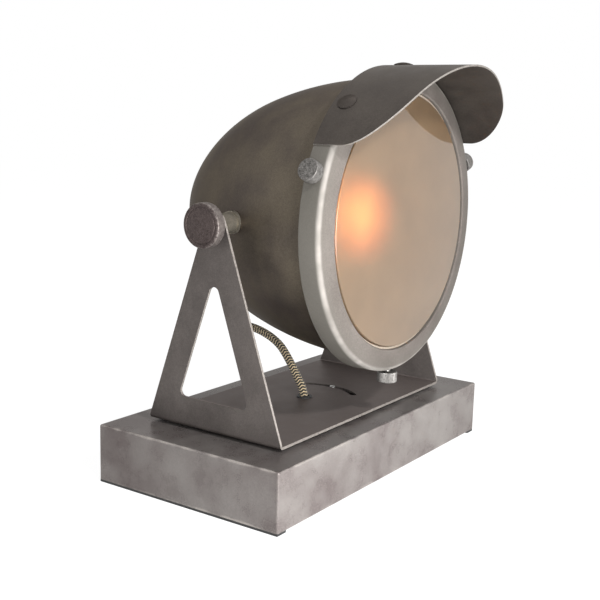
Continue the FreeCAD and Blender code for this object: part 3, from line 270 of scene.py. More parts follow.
def moulded(name, colour, rough):
    """Moulded rubber or plastic with a fine matt grain."""
    finish = Finish(name)
    fine = finish.noise(900, 3, 0.6)
    pale = tuple(min(1.0, 1.6 * part + 0.01) for part in colour)
    return finish.surface(
        Base_Color=finish.mix(colour, pale, fine.step(0.35, 0.8)),
        Roughness=(fine - 0.5) * 0.2 + rough, Normal=finish.bump(fine, 0.04 * MM, 0.5))


# Meshes

def rounded(corners, radii, steps=6):
    """A closed outline whose corners are replaced by arcs: each arc is tangent to both
    sides, and its radius shrinks where a side is too short for it."""
    corners = np.asarray(corners, float)
    lines = []
    for number, (here, radius) in enumerate(zip(corners, radii)):
        before = corners[number - 1] - here
        after = corners[(number + 1) % len(corners)] - here
        near, far = np.linalg.norm(before), np.linalg.norm(after)
        before, after = before / near, after / far
        half = math.acos(np.clip(before @ after, -1, 1)) / 2
        if radius <= 0:
            lines.append(here[None])
            continue
        reach = min(radius / math.tan(half), 0.49 * near, 0.49 * far)
        radius = reach * math.tan(half)
        middle = (before + after) / np.linalg.norm(before + after)
        centre = here + middle * radius / math.sin(half)
        first, last = here + before * reach - centre, here + after * reach - centre
        turn = math.atan2(first[0] * last[1] - first[1] * last[0], first @ last)
        angles = np.linspace(0, turn, steps)
        cosine, sine = np.cos(angles)[:, None], np.sin(angles)[:, None]
        side = np.array([-first[1], first[0]])
        lines.append(centre + cosine * first + sine * side)
    return np.concatenate(lines)


def arc(centre, radius, start, end, steps):
    """Points on a circle between two angles in degrees, from the first axis towards the
    second."""
    angles = np.radians(np.linspace(start, end, steps))
    return np.column_stack([centre[0] + radius * np.cos(angles),
                            centre[1] + radius * np.sin(angles)])


def grid_faces(rows, columns, close_rows, close_columns):
    """Quads between neighbouring points of a grid, as an array of corner numbers."""
    row = np.arange(rows if close_rows else rows - 1)
    column = np.arange(columns if close_columns else columns - 1)
    row, column = np.meshgrid(row, column, indexing="ij")
    next_row, next_column = (row + 1) % rows, (column + 1) % columns
    corners = (row * columns + column, row * columns + next_column,
               next_row * columns + next_column, next_row * columns + column)
    return np.stack(corners, axis=-1).reshape(-1, 4)


def piece(name, points, faces, material, body, sharp=35.0, caps=()):
    """A mesh object from arrays, with points that meet at a pole joined, its faces
    outwards, and its creases above the angle sharp. caps are faces of many corners."""
    mesh = bpy.data.meshes.new(name)
    mesh.from_pydata(points.reshape(-1, 3).tolist(), [], faces.tolist() + list(caps))
    shape = bmesh.new()
    shape.from_mesh(mesh)
    bmesh.ops.remove_doubles(shape, verts=shape.verts, dist=1e-6)
    bmesh.ops.recalc_face_normals(shape, faces=shape.faces)
    shape.to_mesh(mesh)
    shape.free()
    mesh.polygons.foreach_set("use_smooth", [True] * len(mesh.polygons))
    mesh.set_sharp_from_angle(angle=math.radians(sharp))
    made = bpy.data.objects.new(name, mesh)
    bpy.context.scene.collection.objects.link(made)
    mesh.materials.append(material)
    if body:
        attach(made, body)
    return made


def turned(name, outline, axes, material, body, segments, wave=None, closed=True):
    """A turned surface. The outline is (radius, height) in metres, carried round the
    axis: point = centre + height * axis + radius * (cos a * side + sin a * other).
    wave, where given, scales the radius over angle and outline."""
    centre, axis, side = (np.asarray(vector, float) for vector in axes)
    other = np.cross(axis, side)
    angles = np.linspace(0, 2 * math.pi, segments, endpoint=False)
    radius = np.repeat(outline[:, :1], segments, axis=1)
    if wave is not None:
        radius = radius * wave(angles[None], outline)
    height = outline[:, 1][:, None, None]
    around = np.cos(angles)[None, :, None] * side + np.sin(angles)[None, :, None] * other
    points = centre + height * axis + radius[..., None] * around
    faces = grid_faces(len(outline), segments, closed, True)
    return piece(name, points, faces, material, body)


# Sizes and colours that a user would change

def length_property(name, description, default):
    return bpy.props.FloatProperty(name=name, description=description, default=default * MM,
                                   unit="LENGTH")


def count_property(name, description, default, least, most):
    return bpy.props.IntProperty(name=name, description=description, default=default, min=least,
                                 max=most)


def colour_property(name, description, default):
    return bpy.props.FloatVectorProperty(name=name, description=description, default=default,
                                         subtype="COLOR", size=3, min=0.0, max=1.0)


class LampSizes(bpy.types.PropertyGroup):
    """Sizes of the surface detail."""

    knurl_teeth: count_property("Knurl teeth", "Teeth round a thumbscrew", 46, 8, 120)
    knurl_depth: length_property("Knurl depth", "Depth of the thumbscrew knurling", 0.28)
    braid_pitch: length_property("Braid pitch", "Length of one zigzag of the braid", 2.35)
    braid_points: count_property("Braid points", "Zigzags round the lead", 4, 1, 24)
    lead_diameter: length_property("Lead diameter", "Diameter of the braided lead", 6.8)
    glow: bpy.props.FloatProperty(
        name="Bulb glow", description="Brightness of the bulb", default=64.0, min=0.0)


class LampColours(bpy.types.PropertyGroup):
    """Tones of the metal, glass and braid."""

    bowl_dark: colour_property("Bowl, dark", "Darker tone of the bowl", (0.076, 0.063, 0.057))
    bowl_light: colour_property("Bowl, light", "Lighter tone of the bowl", (0.138, 0.116, 0.088))
    base_dark: colour_property("Base, dark", "Darker tone of the base", (0.145, 0.121, 0.117))
    base_light: colour_property("Base, light", "Lighter tone of the base", (0.28, 0.26, 0.247))
    bezel_dark: colour_property("Bezel, dark", "Darker tone of the bezel", (0.113, 0.098, 0.088))
    bezel_light: colour_property("Bezel, light", "Lighter tone of the bezel", (0.175, 0.155, 0.142))
    yoke_dark: colour_property("Yoke, dark", "Darker tone of the yoke", (0.078, 0.068, 0.064))
    yoke_light: colour_property("Yoke, light", "Lighter tone of the yoke", (0.13, 0.115, 0.107))
    lens: colour_property("Lens", "Tone of the frosted lens", (0.18, 0.121, 0.07))
    braid_pale: colour_property("Braid, pale", "Pale yarn of the lead", (0.56, 0.45, 0.28))
    braid_dark: colour_property("Braid, dark", "Dark yarn of the lead", (0.012, 0.011, 0.01))


def sizes():
    return bpy.context.scene.lamp_sizes


def tone(name):
    return tuple(getattr(bpy.context.scene.lamp_colours, name))


def dress(material, *names):
    """Gives CAD nodes a finished material."""
    for name in names:
        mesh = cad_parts[name].data
        if not mesh.materials:
            mesh.materials.append(material)
        for number in range(len(mesh.materials)):
            mesh.materials[number] = material


# Pieces. Their outlines are in millimetres

class LAMP_OT_base(bpy.types.Operator):
    """Finishes the box base, worn at its edges, with painted shade in a ring under the yoke's slot
    and on its top and ends
    """

    bl_idname = "lamp.base"
    bl_label = "Base"

    def execute(self, context):
        # Painted shade: the near-black colour below darkens the ring under the slot, the top and
        # the ends
        steel = patina("base patina", tone("base_dark"), tone("base_light"), cloud=0.85, grain=0.55,
                       rough=0.3, metallic=0.45, wear=self.worn, bright=CUT_STEEL,
                       painted_shading=self.track, painted_shading_colour=(0.012, 0.008, 0.007))
        dress(steel, "base_shell")
        return {"FINISHED"}

    @staticmethod
    def worn(finish, mottle, specks):
        """Bright along the box's edges, less so on its four upright ones."""
        x, y, z = finish.split(finish.place)
        side = BASE_LENGTH / 2 - abs(x)
        front = BASE_DEPTH / 2 - abs(y - PAN_Y)
        top = BASE_TOP - z
        low = z - BASE_FOOT
        edge = side.most(top).least(front.most(top)).least(side.most(front))
        edge = edge.least(side.most(low)).least(front.most(low))
        reach = ((mottle - 0.35) * (5 * MM) + 0.6 * MM).most(0.3 * MM)
        rubbed = (mottle * 0.6 + specks * 0.4).step(0.42, 0.62) * 0.5 + 0.1
        rubbed = rubbed * (1 - side.most(front).step(6 * MM, 1 * MM) * 0.8)
        return (1 - (edge / reach).step(0.25, 1.0)) * rubbed

    @staticmethod
    def track(finish):
        """Painted shade: dark in a ring under the yoke's slot, and fainter on the top and the ends.
        """
        x, y, z = finish.split(finish.place)
        radius = (x ** 2 + (y - PAN_Y) ** 2) ** 0.5
        upward = finish.split(finish.normal)[2].step(0.6, 0.9)
        ends = abs(finish.split(finish.normal)[0]).step(0.6, 0.9)
        ring = 1 - abs(radius - SLOT_RADIUS).step(6 * MM, 9 * MM)
        return ring.most(upward * 0.55).most(ends * 0.4)


class LAMP_OT_fittings(bpy.types.Operator):
    """Finishes the screws, nuts, studs, rubber and other fittings"""

    bl_idname = "lamp.fittings"
    bl_label = "Fittings"

    def execute(self, context):
        dress(plated("zinc plate", (0.62, 0.62, 0.6), rough=0.38),
              "bottom_plate", "bottom_screws", "terminal_screws", "pivot_spring_washer",
              "pivot_nuts", "stop_pin", "stud_left", "stud_right", "saddle_left", "saddle_right",
              "stud_nut_left", "stud_nut_right", "holder_bracket", "bracket_spacer", "bracket_nut",
              "holder_nut", "lens_retainer", "visor_nuts")
        dress(patina("screw patina", (0.052, 0.045, 0.041), (0.09, 0.078, 0.069), rough=0.5),
              "visor_screws", "bracket_screw")
        dress(moulded("black rubber", (0.012, 0.012, 0.012), rough=0.62),
              "foot_strip_left", "foot_strip_right", "mains_gland", "base_lead", "head_lead",
              "head_grommet", "pivot_washer", "pivot_nipple")
        dress(moulded("pale gasket", (0.3, 0.25, 0.2), rough=0.5), "lens_gasket")
        dress(moulded("terminal plastic", (0.62, 0.6, 0.55), rough=0.5), "terminal_block")
        dress(moulded("lampholder moulding", (0.02, 0.018, 0.016), rough=0.35), "lampholder")
        return {"FINISHED"}


class LAMP_OT_yoke(bpy.types.Operator):
    """Finishes the yoke, with its bright cut edges and painted light on the faces that look up"""

    bl_idname = "lamp.yoke"
    bl_label = "Yoke"

    def execute(self, context):
        # Painted light: the lighter colour given below brightens the faces that look up
        steel = patina("yoke patina", tone("yoke_dark"), tone("yoke_light"), cloud=0.9, grain=0.6,
                       rough=0.5, metallic=0.45, wear=self.cut, bright=CUT_STEEL,
                       painted_shading=self.painted_top_light, painted_shading_colour=(0.15, 0.123, 0.114))
        dress(steel, "yoke")
        return {"FINISHED"}

    @staticmethod
    def cut(finish, mottle, specks):
        """Bright on the cut edges, which look to the front or the back."""
        across = abs(finish.split(finish.normal)[1])
        return across.step(0.5, 0.8) * (specks.step(0.25, 0.6) * 0.45 + 0.35)

    @staticmethod
    def painted_top_light(finish):
        """Painted light: a lighter tone on the faces that look up, above all the floor."""
        return finish.split(finish.normal)[2].step(0.4, 0.7)


class LAMP_OT_bowl(bpy.types.Operator):
    """Makes the spun bowl: nose, flank and shoulder arcs that run into each other"""

    bl_idname = "lamp.bowl"
    bl_label = "Bowl"

    WALL = 1.2
    RIM, RIM_START, RIM_END = 105.6, 68.3, 80.0
    SHOULDER, SHOULDER_TURN = 264.6, 71.1
    FLANK, NOSE_TURN = 164.3, 40.0

    def execute(self, context):
        steel = patina("bowl patina", tone("bowl_dark"), tone("bowl_light"), cloud=0.8, grain=0.5,
                       rough=0.5, metallic=0.72)
        lip = self.WALL / 2
        edge = arc((self.RIM_END - lip, self.RIM - lip), lip, 90, -90, 9)[1:-1]
        outline = np.concatenate([self.line(0), edge, self.line(self.WALL)[::-1]])[:, ::-1] * MM
        made = turned("bowl", outline, HEAD_AXIS, steel, "head", 256, closed=False)
        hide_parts("head_shell")
        return {"FINISHED"}

    def line(self, depth):
        """The outline this deep under the outer face, as (forward, radius)."""
        one, two = math.radians(self.SHOULDER_TURN), math.radians(self.NOSE_TURN)
        shoulder = (self.RIM_START, self.RIM - self.SHOULDER)
        flank = (shoulder[0] - (self.SHOULDER - self.FLANK) * math.cos(one),
                 shoulder[1] + (self.SHOULDER - self.FLANK) * math.sin(one))
        meet = (flank[0] - self.FLANK * math.cos(two), flank[1] + self.FLANK * math.sin(two))
        nose = meet[1] / math.sin(two)
        return np.concatenate([
            arc((meet[0] + nose * math.cos(two), 0), nose - depth, 180, 180 - self.NOSE_TURN, 30),
            arc(flank, self.FLANK - depth, 180 - self.NOSE_TURN, 180 - self.SHOULDER_TURN, 26)[1:],
            arc(shoulder, self.SHOULDER - depth, 180 - self.SHOULDER_TURN, 90, 22)[1:],
            [[self.RIM_END - self.WALL / 2, self.RIM - depth]]])


class LAMP_OT_tilt_joint(bpy.types.Operator):
    """Makes the two knobs and finishes the spacer tubes and washers"""

    bl_idname = "lamp.tilt_joint"
    bl_label = "Tilt knobs"

    FACE, INNER, STUD_END = 133.4, 119.25, 131.55
    RADIUS, HEIGHT, HUB, BORE = 16.0, 7.8, 7.8, 4.05
    GROOVE, GROOVE_HALF, GROOVE_DEPTH = 12.7, 0.5, 0.55

    def execute(self, context):
        steel = patina("knob patina", (0.063, 0.049, 0.047), (0.093, 0.074, 0.07), cloud=1.6,
                       grain=1.5, rough=0.55, metallic=0.6, wear=self.worn,
                       bright=(0.24, 0.215, 0.2), relief=0.1 * MM)
        back, face = self.FACE - self.HEIGHT, self.FACE
        corners = [
            (self.BORE, self.INNER), (self.HUB, self.INNER), (self.HUB, back), (self.RADIUS, back),
            (self.RADIUS, face), (self.GROOVE + self.GROOVE_HALF, face),
            (self.GROOVE, face - self.GROOVE_DEPTH), (self.GROOVE - self.GROOVE_HALF, face),
            (0, face), (0, self.STUD_END), (self.BORE, self.STUD_END)]
        radii = [0, 0.4, 0.5, 0.9, 1.3, 0.3, 0.25, 0.3, 0, 0, 0]
        outline = rounded(corners, radii) * MM
        for side, label in ((-1, "left"), (1, "right")):
            axes = ((0, PAN_Y, TILT_Z), (side, 0, 0), (0, 0, 1))
            made = turned(f"tilt_knob_{label}", outline, axes, steel,
                          f"knob_{label}", 128)
            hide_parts(f"knob_{label}")
        satin = patina("spacer satin", (0.2, 0.18, 0.148), (0.29, 0.263, 0.215), cloud=3.0,
                       grain=0.6, rough=0.42)
        dress(satin, "spacer_left", "spacer_right", "washer_left", "washer_right")
        return {"FINISHED"}

    @classmethod
    def worn(cls, finish, mottle, specks):
        """Bright in specks on the flank of the round and on its outer rim."""
        x, y, z = finish.split(finish.place)
        radius = ((y - PAN_Y) ** 2 + (z - TILT_Z) ** 2) ** 0.5
        sideways = abs(finish.split(finish.normal)[0]).step(0.3, 0.8)
        flank = (1 - sideways) * radius.step(13.8 * MM, 15.2 * MM)
        depth = cls.FACE * MM - abs(x)
        rim = radius.step(14.2 * MM, 15.6 * MM) * (1 - depth.step(0.4 * MM, 1.8 * MM))
        return flank * (specks.step(0.3, 0.7) * 0.5 + 0.25) + rim * specks.step(0.46, 0.6) * 0.4


class LAMP_OT_bezel(bpy.types.Operator):
    """Makes the bezel with its rounded shoulder, and the visor"""

    bl_idname = "lamp.bezel"
    bl_label = "Bezel and visor"

    SHEET, SKIRT, BORE = 1.3, 113.6, 96.4
    REAR, SHOULDER, FRONT, LIP = 68.4, 84.7, 87.4, 84.0
    RING_BACK, SHOULDER_BACK = 85.9, 83.4
    VISOR_SHEET, VISOR_INNER, VISOR_REACH = 1.3, 113.65, 59.5
    VISOR_REAR, VISOR_FRONT, VISOR_SWEEP, VISOR_CORNER = 68.7, 140, 230, 42
    VISOR_EDGE = 0.25

    def execute(self, context):
        # Painted highlight: the bright colour on the rounded shoulder is rubbed metal and a painted
        # highlight
        steel = patina("bezel patina", tone("bezel_dark"), tone("bezel_light"), cloud=0.8,
                       grain=0.5, rough=0.68, metallic=0.35, wear=self.worn,
                       bright=(0.4, 0.375, 0.35), painted_shading=self.skirt,
                       # painted shade: this darker, greener colour covers the skirt
                       painted_shading_colour=(0.13, 0.127, 0.11))
        corners = [
            (self.SKIRT, self.REAR), (self.SKIRT, self.SHOULDER), (self.BORE, self.FRONT),
            (self.BORE, self.LIP), (self.BORE + self.SHEET, self.LIP),
            (self.BORE + self.SHEET, self.RING_BACK),
            (self.SKIRT - self.SHEET, self.SHOULDER_BACK), (self.SKIRT - self.SHEET, self.REAR)]
        radii = [0.5, 4.2, 1.2, 0.2, 0.2, 0.3, 2.9, 0.5]
        outline = rounded(corners, radii, 9) * MM
        ring = turned("bezel", outline, HEAD_AXIS, steel, "bezel", 320)
        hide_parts("bezel_ring")
        dark = patina("visor patina", (0.049, 0.042, 0.038), (0.083, 0.072, 0.063), cloud=1.2,
                      grain=0.5, edge=0.8, rough=0.5, metallic=0.72, wear=self.cut,
                      bright=(0.34, 0.315, 0.29))
        self.visor(dark)
        return {"FINISHED"}

    @staticmethod
    def worn(finish, mottle, specks):
        """Bright on the rounded shoulder: rubbed metal and a painted highlight."""
        forward = PAN_Y - finish.split(finish.place)[1]
        outside = finish.head_radius().step(109.5 * MM, 111.8 * MM)
        return forward.step(81.5 * MM, 83.6 * MM) * outside * (mottle.step(0.3, 0.7) * 0.35 + 0.3)

    @staticmethod
    def skirt(finish):
        """Painted shade: the skirt, as far as the shoulder, takes a darker, greener tone."""
        forward = PAN_Y - finish.split(finish.place)[1]
        return 1 - forward.step(83 * MM, 87.8 * MM)

    @staticmethod
    def cut(finish, mottle, specks):
        """Bright where the sheet was cut: the faces that look neither in nor out."""
        return (1 - finish.facing_out().step(0.35, 0.8)) * (specks.step(0.25, 0.6) * 0.4 + 0.55)

    def visor(self, material):
        """The hood: part of a cylinder round the head, from its rear edge to a front edge
        that is, seen from above, a wide arc between two corner arcs. The point at u, w is
        at angle 59.5 sin(90 u) degrees, and w of the way forward to that edge."""
        inner, outer = self.VISOR_INNER * MM, (self.VISOR_INNER + self.VISOR_SHEET) * MM
        reach, rear = math.radians(self.VISOR_REACH), self.VISOR_REAR * MM
        corner, sweep, front = self.VISOR_CORNER * MM, self.VISOR_SWEEP * MM, self.VISOR_FRONT * MM
        centre_x = outer * math.sin(reach) - corner
        centre_v = front - sweep + math.sqrt((sweep - corner) ** 2 - centre_x ** 2)
        meet = centre_x * sweep / (sweep - corner)
        u = np.linspace(-1, 1, 161)[:, None]
        w = np.linspace(0, 1, 33)[None]
        angle = reach * np.sin(math.pi / 2 * u)
        x = np.abs(outer * np.sin(angle))
        wide = front - sweep + np.sqrt(sweep ** 2 - np.minimum(x, meet) ** 2)
        tight = centre_v + np.sqrt(np.clip(corner ** 2 - (x - centre_x) ** 2, 0, None))
        forward = rear + (np.where(x < meet, wide, tight) - rear) * w
        layers = [
            np.stack(np.broadcast_arrays(radius * np.sin(angle), PAN_Y - forward,
                                         TILT_Z + radius * np.cos(angle)), axis=-1)
            for radius in (outer, inner)]
        rows, columns = forward.shape
        faces = grid_faces(rows, columns, False, False)
        number = np.arange(rows * columns).reshape(rows, columns)
        loop = np.concatenate([number[:, 0], number[-1, 1:], number[-2::-1, -1],
                               number[0, -2:0:-1]])
        following = np.roll(loop, -1)
        total = rows * columns
        wall = np.stack([loop, following, following + total, loop + total], axis=1)
        made = piece("visor_hood", np.stack(layers), np.concatenate([faces, faces + total, wall]),
                     material, "bezel", sharp=40)
        softened = made.modifiers.new("edge", "BEVEL")
        softened.width = self.VISOR_EDGE * MM
        softened.segments = 2
        softened.limit_method = "ANGLE"
        softened.angle_limit = math.radians(50)
        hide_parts("visor")


class LAMP_OT_lens(bpy.types.Operator):
    """Makes the frosted lens and the glowing bulb behind it"""

    bl_idname = "lamp.lens"
    bl_label = "Lens and bulb"

    FRONT, WALL, STEP = 86.3, 4.0, 82.6
    MIDDLE, EDGE, HOLLOW = 94.2, 99.0, 90.0
    GLOW_CORE, GLOW_RING, GLOW_RIM = (1.0, 0.62, 0.21), (0.5, 0.12, 0.036), (0.03, 0.01, 0.004)

    def execute(self, context):
        back, ledge = self.FRONT - self.WALL, self.STEP - self.WALL
        corners = [
            (0, self.FRONT), (self.MIDDLE, self.FRONT), (self.MIDDLE, self.STEP),
            (self.EDGE, self.STEP), (self.EDGE, ledge), (self.HOLLOW, ledge),
            (self.HOLLOW, back), (0, back)]
        radii = [0, 0.9, 0.3, 0.4, 0.4, 0.4, 0.8, 0]
        outline = rounded(corners, radii) * MM
        lens = turned("lens", outline, HEAD_AXIS, self.frosted(), "bezel", 256)
        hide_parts("lens_glass")
        dress(self.glowing(), "bulb_glass")
        dress(plated("bulb cap", (0.78, 0.77, 0.74), rough=0.3), "bulb_cap")
        return {"FINISHED"}

    @staticmethod
    def frosted():
        finish = Finish("frosted lens")
        haze = finish.noise(30, 3, 0.5)
        frost = finish.noise(2600, 2, 0.6)
        warm = tone("lens")
        pale = tuple(min(1.0, part * 1.12) for part in warm)
        return finish.surface(
            Base_Color=finish.mix(warm, pale, haze.step(0.3, 0.7)),
            Roughness=(frost - 0.5) * 0.1 + 0.5, Transmission_Weight=0.42, IOR=1.2,
            Coat_Weight=1.0, Coat_Roughness=0.03, Coat_IOR=1.6,
            Normal=finish.bump(frost, 0.02 * MM, 0.4))

    def glowing(self):
        """Opal glass that glows most in its middle and fades to its outline, later above
        and below than at the sides."""
        finish = Finish("glowing opal glass")
        facing = Value(finish, finish.node("ShaderNodeLayerWeight").outputs["Facing"])
        swirl = (finish.noise(60, 2, 0.5) - 0.5) * 0.1
        height = (finish.split(finish.place)[2] - TILT_Z) / BULB_RADIUS
        outward = (1 - (1 - facing) ** 2) * 1.4 - height ** 2 * 0.8
        outward = outward.most(0) ** 0.5 + swirl
        glow = finish.mix(self.GLOW_CORE, self.GLOW_RING, outward.step(0.1, 0.62))
        glow = finish.mix(glow, self.GLOW_RIM, outward.step(0.45, 1.05))
        return finish.surface(
            Base_Color=(0.85, 0.8, 0.72), Roughness=0.3, Emission_Color=glow,
            Emission_Strength=sizes().glow)


class LAMP_OT_thumbscrews(bpy.types.Operator):
    """Makes the three knurled thumbscrews"""

    bl_idname = "lamp.thumbscrews"
    bl_label = "Thumbscrews"

    PLACE = 77
    TIP, BASE, TOP = 105.9, 116.2, 124.6
    SHANK, RADIUS = 2.5, 7.8
    KNURL_END, KNURL_ROWS = 1.2, 12
    KNURL_FADE = 7.4, 0.4

    def execute(self, context):
        nickel = patina("worn nickel", (0.09, 0.085, 0.08), (0.2, 0.19, 0.18), cloud=22.0,
                        grain=1.8, rough=0.45, metallic=0.75, wear=self.worn,
                        bright=(0.25, 0.24, 0.229), relief=0.12 * MM)
        for label, degrees in (("left", -70), ("right", 70), ("bottom", 180)):
            turn = math.radians(degrees)
            axes = ((0, PAN_Y - self.PLACE * MM, TILT_Z), (math.sin(turn), 0, math.cos(turn)),
                    (0, 1, 0))
            made = turned(f"thumb_{label}", self.outline(), axes, nickel,
                          f"thumbscrew_{label}", sizes().knurl_teeth * 6, wave=self.knurl)
            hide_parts(f"thumbscrew_{label}")
        return {"FINISHED"}

    def outline(self):
        """Shank and head, with rows of points on the flank for the knurling to end in."""
        corners = [(0, self.TIP), (self.SHANK, self.TIP), (self.SHANK, self.BASE),
                   (self.RADIUS, self.BASE), (self.RADIUS, self.TOP), (0, self.TOP)]
        outline = rounded(corners, [0, 0.3, 0.3, 0.9, 0.9, 0], 7)
        rows = np.linspace(self.BASE + self.KNURL_END, self.TOP - self.KNURL_END, self.KNURL_ROWS)
        flank = np.column_stack([np.full(self.KNURL_ROWS, self.RADIUS), rows])
        at = int(np.argmax(outline[:, 1] > (self.BASE + self.TOP) / 2))
        return np.concatenate([outline[:at], flank, outline[at:]]) * MM

    def knurl(self, angle, line):
        """The radius dips by the knurl's depth in a round-bottomed tooth form, on the
        flank alone."""
        start, fade = self.KNURL_FADE
        flank = np.clip((line[:, 0] - start * MM) / (fade * MM), 0, 1)[:, None]
        tooth = np.abs(np.cos(angle * sizes().knurl_teeth / 2))
        return 1 - flank * sizes().knurl_depth / (self.RADIUS * MM) * (1 - tooth)

    @staticmethod
    def worn(finish, mottle, specks):
        """Bright in specks on the flank and the knurling."""
        return (1 - finish.facing_out().step(0.3, 0.8)) * (specks.step(0.35, 0.65) * 0.7 + 0.3)


class LAMP_OT_lead(bpy.types.Operator):
    """Makes the braided lead from the hollow pivot to the grommet in the bowl"""

    bl_idname = "lamp.lead"
    bl_label = "Braided lead"

    ROUTE = [
        (0, 16.12, 42), (0, 16.12, 53), (0, 24.72, 66), (0, 33.12, 79), (0, 43.82, 91.2),
        (0, 64.12, 99.4), (0, 84.32, 100.6), (0, 96.22, 109.3), (0, 101.32, 122.9),
        (0, 98.38, 137.28), (0, 88.72, 147.69)]
    ROWS, RING = 420, 96
    SWELL = 0.035

    def execute(self, context):
        line = self.smooth_line()
        steps = np.linalg.norm(np.diff(line, axis=0), axis=1)
        along = np.concatenate([[0], np.cumsum(steps)])
        length = float(along[-1])
        even = np.linspace(0, length, self.ROWS)
        line = np.stack([np.interp(even, along, line[:, axis]) for axis in range(3)], axis=1)
        made = self.braid(line, even)
        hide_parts("link_cord")
        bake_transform(made)
        return {"FINISHED"}

    def smooth_line(self):
        """Points along the smooth curve whose control points are the route."""
        curve = bpy.data.curves.new("lead route", "CURVE")
        curve.dimensions = "3D"
        curve.resolution_u = 24
        spline = curve.splines.new("NURBS")
        spline.points.add(len(self.ROUTE) - 1)
        for point, place in zip(spline.points, self.ROUTE):
            point.co = (*(number * MM for number in place), 1.0)
        spline.order_u = 3
        spline.use_endpoint_u = True
        holder = bpy.data.objects.new("lead route", curve)
        bpy.context.scene.collection.objects.link(holder)
        bpy.context.view_layer.update()
        mesh = bpy.data.meshes.new_from_object(holder)
        points = np.empty(len(mesh.vertices) * 3)
        mesh.vertices.foreach_get("co", points)
        bpy.data.objects.remove(holder)
        bpy.data.meshes.remove(mesh)
        return points.reshape(-1, 3)

    def braid(self, line, along):
        """A round tube along a line that lies in one plane: the point at s, a is
        centre(s) + r (cos a * normal + sin a * X), and r swells over each strand. The
        yarn finds cos a, sin a and s in the attribute braid."""
        tangent = np.gradient(line, along, axis=0)
        tangent /= np.linalg.norm(tangent, axis=1)[:, None]
        sideways = np.array([1.0, 0, 0])
        normal = np.cross(sideways, tangent)
        turn = np.linspace(0, 2 * math.pi, self.RING, endpoint=False)
        lean = np.abs((turn / (2 * math.pi) * sizes().braid_points) % 1 - 0.5) * 2
        phase = along[:, None] / sizes().braid_pitch + lean[None] * 0.5
        swell = np.abs(np.sin(phase * 2 * math.pi)) * self.SWELL + 1 - self.SWELL
        across = (np.cos(turn)[None, :, None] * normal[:, None]
                  + np.sin(turn)[None, :, None] * sideways)
        points = line[:, None] + sizes().lead_diameter / 2 * swell[..., None] * across
        faces = grid_faces(self.ROWS, self.RING, False, True)
        number = np.arange(self.ROWS * self.RING).reshape(self.ROWS, self.RING)
        made = piece("braided_lead", points, faces, self.yarn(), None, sharp=80,
                     caps=[number[0].tolist(), number[-1].tolist()])
        values = np.stack(np.broadcast_arrays(np.cos(turn), np.sin(turn), along[:, None]), axis=-1)
        layer = made.data.attributes.new("braid", "FLOAT_VECTOR", "POINT")
        layer.data.foreach_set("vector", values.astype(np.float32).ravel())
        return made

    def yarn(self):
        """Two yarns in a zigzag: the pattern's phase is the length along the lead over the
        pitch, plus a triangle wave round it."""
        finish = Finish("braided yarn")
        source = finish.node("ShaderNodeAttribute", {"attribute_name": "braid"})
        cosine, sine, along = finish.split(source.outputs["Vector"])
        turn = sine.maths("ARCTAN2", cosine) / (2 * math.pi)
        wave = abs((turn * sizes().braid_points).fraction() - 0.5) * 2
        phase = along / sizes().braid_pitch + wave * 0.5
        stripe = abs(phase.fraction() - 0.5) * 2
        strand = abs((phase * 4).fraction() - 0.5) * 2
        fuzz = finish.noise(5200, 2, 0.7)
        pale = (stripe + (fuzz - 0.5) * 0.35).step(0.52, 0.7)
        colour = finish.mix(tone("braid_dark"), tone("braid_pale"), pale)
        # Painted shade: near black where the strands meet, in the gaps between them
        painted_strand_shade = (1 - strand.step(0.0, 0.3)) * 0.55
        return finish.surface(
            Base_Color=finish.mix(colour, (0.01, 0.009, 0.008), painted_strand_shade), Roughness=0.85,
            Sheen_Weight=0.25, Normal=finish.bump(strand * 0.7 + fuzz * 0.3, 0.3 * MM, 0.7))


